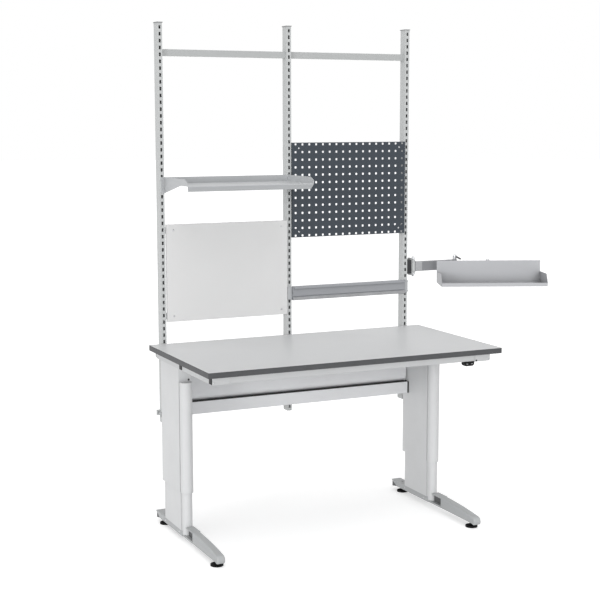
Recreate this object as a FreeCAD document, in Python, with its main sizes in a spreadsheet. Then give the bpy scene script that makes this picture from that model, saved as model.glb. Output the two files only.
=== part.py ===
import FreeCAD, Part
import math
import os
import Sketcher
from FreeCAD import Placement, Rotation, Vector

# Height-adjustable workbench: a laminate top on two telescopic legs, with three slotted uprights
# behind it that carry a shelf, two panels, a bin rail and a tray on a jointed arm.
# Millimetres. +X to the user's right, +Y to the back, +Z up; the origin is on the floor
# under the middle of the tabletop. The stored height is the middle of the lifting range.

SIZES = {
    # tabletop
    "tabletop_length": 1500,
    "tabletop_depth": 800,
    "tabletop_thickness": 25,
    "tabletop_height": 905,
    "tabletop_corner": 6,
    "band_thickness": 2,
    # frame under the tabletop
    "support_width": 82,
    "support_height": 41,
    "support_wall": 3,
    "support_rear_gap": 4,
    "rail_depth": 30,
    "rail_wall": 2,
    "rail_fit": 0.5,
    "rail_cap_thickness": 3,
    "front_rail_setback": 70,
    "middle_rail_setback": 350,
    # telescopic legs
    "leg_inset": 78,
    "leg_setback": 40,
    "leg_depth": 288,
    "leg_thickness": 64,
    "nose_radius": 30,
    "groove_offset": 2,
    "groove_width": 7,
    "groove_depth": 2,
    "nose_wall": 4.5,
    "nose_drop": 69,
    "nose_cap": 3,
    "nose_toe": 10,
    "sleeve_wall": 3,
    "sleeve_length": 599,
    "rear_chamber": 12,
    "column_clearance": 1.5,
    "column_wall": 3,
    "column_top": 580,
    "glide_fit": 0.3,
    "glide_height": 60,
    "glide_width": 40,
    "glide_rise": 8,
    # lifting drive inside each leg
    "spindle_radius": 8,
    "spindle_inset": 160,
    "spindle_length": 515,
    "spindle_fit": 0.3,
    "nut_length": 60,
    "nut_height": 20,
    "gearbox_length": 70,
    "gearbox_width": 50,
    "gearbox_height": 39,
    "motor_radius": 23,
    "motor_length": 95,
    "socket_depth": 15,
    # feet
    "foot_clearance": 26,
    "rear_foot_width": 52,
    "rear_foot_height": 28,
    "rear_foot_wall": 4,
    "foot_overhang": 84,
    "foot_end_cut": 56,
    "plug_drop": 10,
    "front_foot_width": 40,
    "front_foot_wall": 4,
    "front_foot_gap": 89,
    "front_foot_setback": 65,
    "front_foot_heel": 54,
    "front_foot_instep": 47.5,
    "front_foot_toe": 34,
    "front_foot_lean": 22,
    "front_foot_nose": 18.6,
    "front_foot_bulge": 2.7,
    "front_foot_lip": 5.5,
    "front_foot_lip_front": 8,
    "front_foot_lip_rear": 24,
    "front_foot_corner": 8,
    "heel_plate": 6,
    "neck_width": 10,
    "neck_gap": 1,
    "tongue_length": 193,
    "tongue_height": 9.5,
    "front_pad_inset": 58,
    "rear_pad_inset": 72,
    "pad_radius": 30,
    "pad_rim": 8,
    "pad_height": 14,
    "pad_neck_radius": 14,
    "stud_radius": 6,
    "stud_length": 38,
    "stud_fit": 0.1,
    # beam and cable trough between the legs
    "beam_height": 60,
    "beam_depth": 40,
    "beam_wall": 2,
    "beam_inset": 20,
    "beam_drop": 255,
    "beam_spacer": 8,
    "trough_sheet": 1.5,
    "trough_inset": 55,
    "trough_depth": 80,
    "trough_drop": 253.5,
    "trough_corner": 35,
    "trough_lip": 60,
    "trough_flange": 25,
    "trough_end_gap": 15,
    # slotted uprights and their clamps
    "upright_inset": 80,
    "upright_width": 24,
    "upright_depth": 50,
    "upright_wall": 2,
    "upright_gap": 2,
    "upright_tail": 55,
    "upright_length": 1930,
    "slot_width": 9.5,
    "slot_height": 17,
    "slot_pitch": 32,
    "slot_margin": 20,
    "cap_thickness": 4,
    "cap_overhang": 2.5,
    "cap_plug": 15,
    "cap_fit": 0.3,
    "clamp_width": 54,
    "clamp_height": 26,
    "clamp_thickness": 6,
    "clamp_bolt_spacing": 36,
    "clamp_bolt_radius": 4,
    "clamp_bolt_fit": 0.3,
    "clamp_bolt_head": 6,
    "clamp_head_radius": 7,
    "upper_clamp_drop": 32,
    "lower_clamp_rise": 46,
    "clamp_spacer_size": 40,
    # top beams
    "top_beam_height": 32,
    "top_beam_depth": 20,
    "top_beam_wall": 2,
    "top_beam_drop": 122,
    # panels
    "panel_height": 474,
    "panel_depth": 15,
    "panel_front_gap": 10,
    "panel_sheet": 1.25,
    "white_panel_rise": 107,
    "white_panel_margin": 4,
    "perforated_panel_rise": 493,
    "perforated_panel_margin": 1,
    "hole_size": 10,
    "hole_pitch": 38,
    "hole_margin": 8,
    "panel_screw_inset": 37,
    "panel_screw_rise": 28,
    "panel_screw_radius": 2.5,
    "panel_screw_head_radius": 5,
    "panel_screw_head": 2.5,
    "panel_bracket_sheet": 2,
    "panel_bracket_height": 30,
    "panel_bracket_depth": 30,
    "panel_bracket_overlap": 12,
    # shelf
    "shelf_rise": 777,
    "shelf_end_gap": 15,
    "shelf_depth": 305,
    "shelf_rear_gap": 12,
    "shelf_sheet": 2,
    "shelf_upstand": 30,
    "shelf_lip": 27,
    "shelf_hem": 12,
    "shelf_bracket_sheet": 2,
    "shelf_bracket_drop": 47,
    "shelf_bracket_toe": 36,
    "shelf_bracket_waist": 95,
    "shelf_flange_cover": 19,
    "hook_width": 5,
    "hook_height": 10,
    "hook_depth": 6,
    # bin rail
    "bin_rail_rise": 201,
    "bin_rail_end_gap": 10,
    "bin_rail_height": 71,
    "bin_rail_hang": 27,
    "bin_rail_depth": 12,
    "bin_rail_wall": 2.5,
    "bin_rail_lip": 17,
    "bin_rail_lip_depth": 3,
    "bin_rail_groove": 4,
    "bin_rail_bracket_depth": 7,
    "bin_rail_bracket_width": 26,
    "bin_rail_bracket_height": 64,
    # jointed arm and tray
    "arm_rise": 311,
    "arm_height": 50,
    "arm_thickness": 25,
    "arm_wall": 2.5,
    "arm_length": 256,
    "arm_setback": 18,
    "clamp_block_width": 28,
    "clamp_block_height": 73,
    "clamp_block_depth": 46,
    "arm_bracket_sheet": 4,
    "arm_bracket_height": 92,
    "eye_radius": 12.5,
    "eye_gap": 0.8,
    "lug_thickness": 6,
    "lug_fit": 0.5,
    "pivot_radius": 6,
    "pivot_fit": 0.1,
    "pivot_head_radius": 10,
    "pivot_head": 14,
    "shoulder_head": 22,
    "forearm_length": 203,
    "forearm_angle": -63,
    "forearm_thickness": 20,
    "lever_hub_radius": 10,
    "lever_hub_height": 24,
    "lever_reach": 30,
    "lever_thickness": 9,
    "lever_width": 12,
    "lever_tip_drop": 16,
    "lever_angle": -35,
    "tray_angle": -23,
    "tray_length": 547,
    "tray_depth": 190,
    "tray_back": 115,
    "tray_end": 62,
    "tray_end_fall": 5,
    "tray_lip": 18,
    "tray_sheet": 1.5,
    "tray_slant": 34,
    "tray_bulge": 3,
    "tray_standoff": 30,
    "tray_rise": 11,
    "tray_plate_width": 70,
    "tray_plate_sheet": 3,
    # control box, switch and buttons
    "control_box_length": 240,
    "control_box_depth": 100,
    "control_box_height": 36,
    "control_box_x": 160,
    "control_box_setback": 250,
    "inlet_width": 28,
    "inlet_height": 20,
    "inlet_depth": 16,
    "switch_width": 57,
    "switch_depth": 25,
    "switch_height": 22,
    "switch_end_gap": 3,
    "switch_proud": 3,
    "switch_corner": 4,
    "button_width": 15,
    "button_height": 9,
    "button_pitch": 26,
    "button_proud": 2.5,
    "button_length": 9,
    "button_travel": 2,
    "button_fit": 0.3,
    "button_corner": 3,
}

doc = FreeCAD.newDocument("Workbench")
sheet = doc.addObject("Spreadsheet::Sheet", "Sheet")


class Size:
    """A size held both as a number and as the spreadsheet expression that gives it."""

    def __init__(self, value, text):
        self.value = float(value)
        self.text = text

    def __add__(self, other):
        other = as_size(other)
        return Size(self.value + other.value, f"({self.text} + {other.text})")

    def __sub__(self, other):
        other = as_size(other)
        return Size(self.value - other.value, f"({self.text} - {other.text})")

    def __mul__(self, other):
        other = as_size(other)
        return Size(self.value * other.value, f"({self.text} * {other.text})")

    def __truediv__(self, other):
        other = as_size(other)
        return Size(self.value / other.value, f"({self.text} / {other.text})")

    def __radd__(self, other):
        return as_size(other) + self

    def __rsub__(self, other):
        return as_size(other) - self

    def __rmul__(self, other):
        return as_size(other) * self

    def __neg__(self):
        return Size(-self.value, f"(0 - {self.text})")


def as_size(number):
    """Wrap a plain number so that it mixes with spreadsheet sizes."""
    return number if isinstance(number, Size) else Size(number, repr(float(number)))


def cosine(angle):
    return Size(math.cos(math.radians(angle.value)), f"cos({angle.text} * 1 deg)")


def sine(angle):
    return Size(math.sin(math.radians(angle.value)), f"sin({angle.text} * 1 deg)")


def whole(amount):
    """The whole number at or below a size."""
    return Size(math.floor(amount.value), f"floor({amount.text})")


class Sheet:
    """Every spreadsheet cell as an attribute, by its alias."""


size = Sheet()
for row, (alias, number) in enumerate(SIZES.items(), start=1):
    sheet.set(f"A{row}", alias.replace("_", " "))
    sheet.set(f"B{row}", str(number))
    sheet.setAlias(f"B{row}", alias)
    setattr(size, alias, Size(number, f"Sheet.{alias}"))
doc.recompute()

sub_parts = []

# Two drawn points closer than this are one point
POINT_TOLERANCE = 1e-6


def bind(thing, path, amount):
    """Tie one property of an object to a spreadsheet expression."""
    thing.setExpression(path, as_size(amount).text)


def place(thing, at=(0, 0, 0), turn=None):
    """Set an object's place, and its turn about the upright axis, from the spreadsheet."""
    for axis, amount in zip("xyz", at):
        bind(thing, f"Placement.Base.{axis}", amount)
    if turn is not None:
        thing.Placement = Placement(Vector(), Rotation(Vector(0, 0, 1), turn.value))
        bind(thing, "Placement.Rotation.Axis.x", 0)
        bind(thing, "Placement.Rotation.Axis.y", 0)
        bind(thing, "Placement.Rotation.Axis.z", 1)
        thing.setExpression("Placement.Rotation.Angle", f"{turn.text} * 1 deg")
    return thing


def keep(thing, label):
    """Name an object as a finished sub-part."""
    thing.Label = label
    sub_parts.append(thing)
    return thing


def box(name, low, high):
    """A block between two corners."""
    block = doc.addObject("Part::Box", name)
    for side, start, end in zip(("Length", "Width", "Height"), low, high):
        bind(block, side, as_size(end) - start)
    return place(block, low)


AXIS_TURNS = {
    "x": Rotation(Vector(0, 1, 0), 90),
    "y": Rotation(Vector(1, 0, 0), -90),
    "z": Rotation(),
}


def rod(name, radius, length, at, axis="z"):
    """A round bar that starts at a point and runs along +X, +Y or +Z."""
    bar = doc.addObject("Part::Cylinder", name)
    bind(bar, "Radius", radius)
    bind(bar, "Height", length)
    bar.Placement = Placement(Vector(), AXIS_TURNS[axis])
    return place(bar, at)


def fuse(name, pieces):
    joined = doc.addObject("Part::MultiFuse", name)
    joined.Shapes = pieces
    return joined


def cut(name, base, tools):
    """Take one or more tools away from a base."""
    result = doc.addObject("Part::Cut", name)
    result.Base = base
    result.Tool = tools[0] if len(tools) == 1 else fuse(name + "_tools", tools)
    return result


def group(label, pieces):
    """Separate solids that share one node."""
    bundle = doc.addObject("Part::Compound", label)
    bundle.Links = pieces
    return keep(bundle, label)


class Via:
    """The middle point of an arc between the corners before and after it."""

    def __init__(self, x, y):
        self.x = as_size(x)
        self.y = as_size(y)


def pin_point(sketch, geometry, position, x, y):
    """Fix a sketch point by its two distances from the origin."""
    for kind, amount in (("DistanceX", as_size(x)), ("DistanceY", as_size(y))):
        number = sketch.addConstraint(Sketcher.Constraint(kind, -1, 1, geometry, position, amount.value))
        name = f"{kind}_{geometry}_{position}"
        sketch.renameConstraint(number, name)
        sketch.setExpression(f"Constraints.{name}", amount.text)


def draw_loop(sketch, loop):
    """Draw a closed outline of straight and round edges, every corner tied to the spreadsheet."""
    corners = []
    middles = {}
    for item in loop:
        if isinstance(item, Via):
            middles[len(corners) - 1] = item
        else:
            corners.append((as_size(item[0]), as_size(item[1])))
    edges = []
    for index, start in enumerate(corners):
        end = corners[(index + 1) % len(corners)]
        first = Vector(start[0].value, start[1].value, 0)
        last = Vector(end[0].value, end[1].value, 0)
        if index in middles:
            middle = middles[index]
            curve = Part.Arc(first, Vector(middle.x.value, middle.y.value, 0), last)
            edges.append(sketch.addGeometry(curve, False))
        else:
            edges.append(sketch.addGeometry(Part.LineSegment(first, last), False))
    ends = []
    for index, edge in enumerate(edges):
        start = Vector(corners[index][0].value, corners[index][1].value, 0)
        forward = sketch.getPoint(edge, 1).distanceToPoint(start) < POINT_TOLERANCE
        ends.append((1, 2) if forward else (2, 1))
    for index, edge in enumerate(edges):
        following = (index + 1) % len(edges)
        sketch.addConstraint(
            Sketcher.Constraint("Coincident", edge, ends[index][1], edges[following], ends[following][0])
        )
    for index, edge in enumerate(edges):
        pin_point(sketch, edge, ends[index][0], *corners[index])
    for index, middle in middles.items():
        spot = sketch.addGeometry(Part.Point(Vector(middle.x.value, middle.y.value, 0)), True)
        pin_point(sketch, spot, 1, middle.x, middle.y)
        sketch.addConstraint(Sketcher.Constraint("PointOnObject", spot, 1, edges[index]))


def draw(body, role, offset, loops):
    """A sketch of closed outlines on one of the body's own planes."""
    plane = next(item for item in body.Origin.OriginFeatures if item.Role == role)
    sketch = body.newObject("Sketcher::SketchObject", body.Name + "_profile")
    sketch.AttachmentSupport = (plane, "")
    sketch.MapMode = "FlatFace"
    bind(sketch, "AttachmentOffset.Base.z", offset)
    for loop in loops:
        draw_loop(sketch, loop)
    return sketch


PLANES = {"x": "YZ_Plane", "y": "XZ_Plane", "z": "XY_Plane"}


def level(axis, low, high):
    """Where a sketch plane stands so that its pad fills low to high along an axis."""
    return -as_size(high) if axis == "y" else as_size(low)


def pad(body, axis, low, high, loops):
    """Add a bar of constant outline between two places along X, Y or Z."""
    sketch = draw(body, PLANES[axis], level(axis, low, high), loops)
    feature = body.newObject("PartDesign::Pad", body.Name + "_pad")
    feature.Profile = sketch
    bind(feature, "Length", as_size(high) - low)
    return feature


def pocket(body, axis, low, high, loops):
    """Remove a bar of constant outline between two places along X, Y or Z."""
    sketch = draw(body, PLANES[axis], level(axis, low, high), loops)
    feature = body.newObject("PartDesign::Pocket", body.Name + "_pocket")
    feature.Profile = sketch
    feature.Reversed = True
    bind(feature, "Length", as_size(high) - low)
    return feature


def new_body(name):
    return doc.addObject("PartDesign::Body", name)


def bar(label, axis, low, high, loops, at=(0, 0, 0), turn=None):
    """A sub-part of one constant outline."""
    body = new_body(label)
    pad(body, axis, low, high, loops)
    place(body, at, turn)
    return keep(body, label)


def rectangle(x_low, y_low, x_high, y_high):
    return [(x_low, y_low), (x_high, y_low), (x_high, y_high), (x_low, y_high)]


def round_rectangle(x_low, y_low, x_high, y_high, radius):
    """A rectangle with four round corners."""
    inset = radius * (1 - math.sqrt(0.5))
    far = radius - inset
    return [
        (x_low + radius, y_low), (x_high - radius, y_low),
        Via(x_high - radius + far, y_low + radius - far),
        (x_high, y_low + radius), (x_high, y_high - radius),
        Via(x_high - radius + far, y_high - radius + far),
        (x_high - radius, y_high), (x_low + radius, y_high),
        Via(x_low + radius - far, y_high - radius + far),
        (x_low, y_high - radius), (x_low, y_low + radius),
        Via(x_low + radius - far, y_low + radius - far),
    ]


SIDES = {"left": -1, "right": 1}

# Levels and places that several pieces share
table_top = size.tabletop_height
table_bottom = table_top - size.tabletop_thickness
table_half = size.tabletop_length / 2
table_back = size.tabletop_depth / 2
support_bottom = table_bottom - size.support_height
rail_bottom = support_bottom + size.support_wall
front_rail_y = size.front_rail_setback - table_back
middle_rail_y = table_back - size.middle_rail_setback
leg_x = table_half - size.leg_inset
leg_rear = table_back - size.leg_setback
leg_front = leg_rear - size.leg_depth
nose_y = leg_front + size.nose_radius
channel_front = nose_y + size.groove_offset
spindle_y = leg_rear - size.spindle_inset
foot_rear = table_back + size.foot_overhang
front_foot_rear = leg_front - size.front_foot_gap
heel_rear = leg_front - size.neck_gap
front_foot_tip = size.front_foot_setback - table_back
front_pad_y = front_foot_tip + size.front_pad_inset
rear_pad_y = foot_rear - size.rear_pad_inset
beam_back = leg_rear - size.beam_inset
beam_front = beam_back - size.beam_depth
sleeve_bottom = support_bottom - size.sleeve_length
nose_top = support_bottom - size.nose_drop
foot_top = size.foot_clearance + size.rear_foot_height
beam_top = table_bottom - size.beam_drop
beam_bottom = beam_top - size.beam_height
upright_front = table_back + size.upright_gap
upright_back = upright_front + size.upright_depth
upright_bottom = beam_bottom - size.upright_tail
upright_top = upright_bottom + size.upright_length
upright_half = size.upright_width / 2
upright_x = table_half - size.upright_inset
bay_half = upright_x / 2 - upright_half
bay_middle = {"left": -upright_x / 2, "right": upright_x / 2}
support_rear = table_back - size.support_rear_gap


first_slot = upright_top - size.slot_margin


def slot_above(height):
    """Height of the middle of the first slot at or above a given height."""
    return first_slot - size.slot_pitch * whole((first_slot - height) / size.slot_pitch)


def make_tabletop():
    """Laminate board inside a thin edge band."""
    inner_x = table_half - size.band_thickness
    inner_y = table_back - size.band_thickness
    inner_corner = size.tabletop_corner - size.band_thickness
    board = round_rectangle(-inner_x, -inner_y, inner_x, inner_y, inner_corner)
    outline = round_rectangle(-table_half, -table_back, table_half, table_back, size.tabletop_corner)
    bar("tabletop", "z", table_bottom, table_top, [board])
    bar("tabletop_edge_band", "z", table_bottom, table_top, [outline, board])


def make_rails():
    """Two tubes along the top that sit in the notches of the supports, with end caps."""
    rail_end = leg_x + size.support_width / 2
    half = size.rail_depth / 2
    caps = []
    for name, middle in (("front_rail", front_rail_y), ("middle_rail", middle_rail_y)):
        outside = rectangle(middle - half, rail_bottom, middle + half, table_bottom)
        inside = rectangle(
            middle - half + size.rail_wall, rail_bottom + size.rail_wall,
            middle + half - size.rail_wall, table_bottom - size.rail_wall,
        )
        bar(name, "x", -rail_end, rail_end, [outside, inside])
        for side, sign in SIDES.items():
            outer = sign * (rail_end + size.rail_cap_thickness)
            inner = sign * rail_end
            low, high = (outer, inner) if sign < 0 else (inner, outer)
            caps.append(box(
                f"{name}_{side}_cap",
                (low, middle - half, rail_bottom), (high, middle + half, table_bottom),
            ))
    group("rail_end_caps", caps)


def make_supports():
    """Trough-shaped arms on top of the legs, notched for the rails and closed at the front."""
    half = size.support_width / 2
    reach = size.rail_depth / 2 + size.rail_fit
    front = front_rail_y - reach - size.support_wall
    for side, sign in SIDES.items():
        name = f"{side}_support"
        block = box(name + "_block", (-half, front, support_bottom), (half, support_rear, table_bottom))
        hollow = box(
            name + "_hollow",
            (size.support_wall - half, front + size.support_wall, rail_bottom),
            (half - size.support_wall, support_rear + size.support_wall, table_bottom + size.support_wall),
        )
        notches = []
        for rail, middle in (("front", front_rail_y), ("middle", middle_rail_y)):
            notches.append(box(
                f"{name}_{rail}_notch",
                (-half - size.support_wall, middle - reach, rail_bottom),
                (half + size.support_wall, middle + reach, table_bottom + size.support_wall),
            ))
        support = cut(name, block, [hollow] + notches)
        keep(place(support, (sign * leg_x, 0, 0)), name)


def leg_outline(nose, shoulder, side, rear):
    """Outline of a leg section: round nose, straight neck, then the flat panel."""
    return [
        (-nose, nose_y), Via(0, nose_y - nose), (nose, nose_y),
        (nose, shoulder), (side, shoulder), (side, rear),
        (-side, rear), (-side, shoulder), (-nose, shoulder),
    ]


def make_sleeves():
    """Outer leg sections, which carry the tabletop and slide over the columns."""
    half = size.leg_thickness / 2
    nose = size.nose_radius
    neck = nose - size.groove_depth
    groove_start = nose_y + size.groove_offset
    groove_end = groove_start + size.groove_width
    outside = [
        (-nose, nose_y), Via(0, nose_y - nose), (nose, nose_y),
        (nose, groove_start), (neck, groove_start), (neck, groove_end), (half, groove_end),
        (half, leg_rear), (-half, leg_rear),
        (-half, groove_end), (-neck, groove_end), (-neck, groove_start), (-nose, groove_start),
    ]
    room = half - size.sleeve_wall
    web_back = leg_rear - size.sleeve_wall - size.rear_chamber
    inside = leg_outline(
        nose - size.nose_wall, groove_end + size.sleeve_wall, room, web_back - size.sleeve_wall,
    )
    chamber = rectangle(-room, web_back, room, leg_rear - size.sleeve_wall)
    panel = rectangle(-half, groove_end, half, leg_rear)
    head_room = rectangle(-room, groove_end + size.sleeve_wall, room, web_back - size.sleeve_wall)
    cap_bottom = nose_top - size.nose_cap
    for side, sign in SIDES.items():
        body = new_body(f"{side}_outer_sleeve")
        pad(body, "z", sleeve_bottom, cap_bottom, [outside, inside, chamber])
        pad(body, "z", cap_bottom, nose_top, [outside, head_room, chamber])
        pad(body, "z", nose_top, support_bottom, [panel, head_room, chamber])
        keep(place(body, (sign * leg_x, 0, 0)), f"{side}_outer_sleeve")


def column_sizes():
    """Nose radius, shoulder, half thickness and rear face of the inner column."""
    shoulder = nose_y + size.groove_offset + size.groove_width + size.sleeve_wall
    nose = size.nose_radius - size.nose_wall - size.column_clearance
    side = size.leg_thickness / 2 - size.sleeve_wall - size.column_clearance
    web_back = leg_rear - size.sleeve_wall - size.rear_chamber
    rear = web_back - size.sleeve_wall - size.column_clearance
    return nose, shoulder + size.column_clearance, side, rear


def make_columns():
    """Inner leg sections, which stand on the feet; the nose reaches down in front of the channel."""
    nose, shoulder, side, rear = column_sizes()
    wall = size.column_wall
    outside = leg_outline(nose, shoulder, side, rear)
    inside = leg_outline(nose - wall, shoulder + wall, side - wall, rear - wall)
    toe = [
        (-nose, nose_y), Via(0, nose_y - nose), (nose, nose_y), (nose, channel_front), (-nose, channel_front),
    ]
    for leg, sign in SIDES.items():
        body = new_body(f"{leg}_inner_column")
        pad(body, "z", foot_top, size.column_top, [outside, inside])
        pad(body, "z", size.foot_clearance + size.nose_toe, foot_top, [toe])
        keep(place(body, (sign * leg_x, 0, 0)), f"{leg}_inner_column")


def make_glides():
    """Slide pads at the mouth of each sleeve, fixed to its inner faces."""
    nose, shoulder, side, rear = column_sizes()
    room = side + size.column_clearance
    glides = []
    for leg, sign in SIDES.items():
        for face, turn in (("inner", -1), ("outer", 1)):
            near = turn * (side + size.glide_fit)
            far = turn * room
            low, high = (far, near) if turn < 0 else (near, far)
            for spot, y in (("front", shoulder), ("rear", rear - size.glide_width)):
                glides.append(box(
                    f"{leg}_{face}_{spot}_glide",
                    (sign * leg_x + low, y, sleeve_bottom + size.glide_rise),
                    (
                        sign * leg_x + high, y + size.glide_width,
                        sleeve_bottom + size.glide_rise + size.glide_height,
                    ),
                ))
    group("leg_glides", glides)


def make_drives():
    """Motor and gearbox in the head of each leg, its spindle and the nut in the column."""
    nose, shoulder, side, rear = column_sizes()
    gearbox_bottom = support_bottom - size.gearbox_height
    spindle_top = gearbox_bottom + size.socket_depth
    half_width = size.gearbox_width / 2
    half_length = size.gearbox_length / 2
    motor_start = spindle_y + half_length
    nut_half = side - size.column_wall
    for leg, sign in SIDES.items():
        x = sign * leg_x
        gearbox = box(
            f"{leg}_gearbox",
            (x - half_width, spindle_y - half_length, gearbox_bottom),
            (x + half_width, motor_start, support_bottom),
        )
        socket = rod(
            f"{leg}_socket", size.spindle_radius + size.stud_fit, size.socket_depth,
            (x, spindle_y, gearbox_bottom),
        )
        motor = rod(
            f"{leg}_motor", size.motor_radius, size.motor_length,
            (x, motor_start, support_bottom - size.motor_radius), "y",
        )
        drive = fuse(f"{leg}_drive_body", [gearbox, motor])
        keep(cut(f"{leg}_drive_unit", drive, [socket]), f"{leg}_drive_unit")
        spindle = rod(
            f"{leg}_spindle", size.spindle_radius, size.spindle_length,
            (x, spindle_y, spindle_top - size.spindle_length),
        )
        keep(spindle, f"{leg}_spindle")
        nut = box(
            f"{leg}_nut_block",
            (x - nut_half, spindle_y - size.nut_length / 2, size.column_top - size.nut_height),
            (x + nut_half, spindle_y + size.nut_length / 2, size.column_top),
        )
        bore = rod(
            f"{leg}_nut_bore", size.spindle_radius + size.spindle_fit, size.nut_height * 3,
            (x, spindle_y, size.column_top - size.nut_height * 2),
        )
        keep(cut(f"{leg}_spindle_nut", nut, [bore]), f"{leg}_spindle_nut")


def make_rear_feet():
    """Inverted channels under the columns, plugged at the rear, with a neck towards the front foot."""
    half = size.rear_foot_width / 2
    wall = size.rear_foot_wall
    bottom = size.foot_clearance
    room = half - wall
    outline = [
        (-half, bottom), (-room, bottom), (-room, foot_top - wall), (room, foot_top - wall),
        (room, bottom), (half, bottom), (half, foot_top), (-half, foot_top),
    ]
    plug_front = foot_rear - size.foot_end_cut
    end_cut = [
        (foot_rear, bottom - wall), (foot_rear, foot_top - wall), (plug_front, bottom),
        (plug_front, bottom - wall),
    ]
    neck_half = size.neck_width / 2
    neck_outline = rectangle(
        -neck_half, bottom + size.tongue_height,
        neck_half, bottom + size.front_foot_heel - size.heel_plate,
    )
    for leg, sign in SIDES.items():
        body = new_body(f"{leg}_rear_foot")
        pad(body, "y", channel_front, foot_rear, [outline])
        pocket(body, "x", -half - wall, half + wall, [end_cut])
        pad_hole(body, rear_pad_y)
        keep(place(body, (sign * leg_x, 0, 0)), f"{leg}_rear_foot")
        plug = [
            (plug_front, bottom), (foot_rear, bottom - size.plug_drop),
            (foot_rear, foot_top - wall), (plug_front, foot_top - wall),
        ]
        block = new_body(f"{leg}_plug_block")
        pad(block, "x", -room, room, [plug])
        neck = new_body(f"{leg}_foot_neck")
        pad(neck, "y", front_foot_rear, heel_rear, [neck_outline])
        group(f"{leg}_foot_plug", [place(block, (sign * leg_x, 0, 0)), place(neck, (sign * leg_x, 0, 0))])


def circle_loop(x, y, radius):
    """A round outline as two half circles."""
    return [
        (x - radius, y), Via(x, as_size(y) - radius), (x + radius, y), Via(x, as_size(y) + radius),
    ]


def pad_hole(body, y):
    """The hole for a levelling stud."""
    hole = circle_loop(as_size(0), y, size.stud_radius + size.stud_fit)
    pocket(body, "z", size.foot_clearance, foot_top, [hole])


def make_front_feet():
    """Tapered feet in front of the legs: rounded toe, hollow underside, tongue into the channel."""
    bottom = size.foot_clearance
    heel = bottom + size.front_foot_heel
    toe = bottom + size.front_foot_toe
    wall = size.front_foot_wall
    rear = front_foot_rear
    tip = front_foot_tip
    half = size.front_foot_width / 2
    instep = bottom + size.front_foot_instep
    middle = (rear + tip) / 2
    outline = [
        (rear, bottom), (rear, heel), Via(middle, instep),
        (tip + size.front_foot_lean, toe), Via(tip + size.front_foot_bulge, bottom + size.front_foot_nose),
        (tip + size.front_foot_lip_front, bottom - size.front_foot_lip),
        (tip + size.front_foot_lip_rear, bottom),
    ]
    hollow_front = front_pad_y + size.pad_radius
    hollow = [
        (rear - wall, bottom - wall), (rear - wall, heel - wall),
        (hollow_front, toe), (hollow_front, bottom - wall),
    ]
    tongue_half = size.rear_foot_width / 2 - size.rear_foot_wall
    tongue = rectangle(-tongue_half, bottom, tongue_half, bottom + size.tongue_height)
    heel_plate = rectangle(-half, heel - size.heel_plate, half, heel)
    for leg, sign in SIDES.items():
        body = new_body(f"{leg}_front_foot")
        blade = pad(body, "x", -half, half, [outline])
        doc.recompute()
        toe_edges = vertical_front_edges(blade.Shape, (tip + size.front_foot_lean).value)
        fillet = body.newObject("PartDesign::Fillet", f"{leg}_toe_round")
        fillet.Base = (blade, toe_edges)
        bind(fillet, "Radius", size.front_foot_corner)
        pocket(body, "x", wall - half, half - wall, [hollow])
        pad(body, "y", rear, rear + size.tongue_length, [tongue])
        pad(body, "y", rear, heel_rear, [heel_plate])
        pad_hole(body, front_pad_y)
        keep(place(body, (sign * leg_x, 0, 0)), f"{leg}_front_foot")


def vertical_front_edges(shape, front):
    """Names of the straight, nearly upright edges that lie in front of a given place."""
    names = []
    for number, edge in enumerate(shape.Edges, start=1):
        low, high = edge.Vertexes[0].Point, edge.Vertexes[-1].Point
        if max(low.y, high.y) < front + 0.01 and abs(high.z - low.z) > abs(high.y - low.y):
            names.append(f"Edge{number}")
    return names


def make_pads():
    """Levelling feet: a wide foot plate turned in one piece with its stud."""
    profile = [
        (0, 0), (size.pad_radius, 0), (size.pad_radius, size.pad_rim),
        (size.pad_neck_radius, size.pad_height),
        (size.stud_radius, size.pad_height), (size.stud_radius, size.pad_height + size.stud_length),
        (0, size.pad_height + size.stud_length),
    ]
    for leg, sign in SIDES.items():
        for spot, y in (("front", front_pad_y), ("rear", rear_pad_y)):
            name = f"{leg}_{spot}_pad"
            body = new_body(name)
            sketch = draw(body, "XZ_Plane", 0, [profile])
            turned = body.newObject("PartDesign::Revolution", name + "_turned")
            turned.Profile = sketch
            turned.ReferenceAxis = (sketch, ["V_Axis"])
            turned.Angle = 360
            keep(place(body, (sign * leg_x, y, 0)), name)


def make_beam():
    """Square tube between the legs, with a spacer plate at each end."""
    leg_inner = leg_x - size.leg_thickness / 2
    end = leg_inner - size.beam_spacer
    outside = rectangle(beam_front, beam_bottom, beam_back, beam_top)
    inside = rectangle(
        beam_front + size.beam_wall, beam_bottom + size.beam_wall,
        beam_back - size.beam_wall, beam_top - size.beam_wall,
    )
    bar("cross_beam", "x", -end, end, [outside, inside])
    left = box("left_spacer", (-leg_inner, beam_front, beam_bottom), (-end, beam_back, beam_top))
    right = box("right_spacer", (end, beam_front, beam_bottom), (leg_inner, beam_back, beam_top))
    group("beam_spacers", [left, right])


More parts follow.
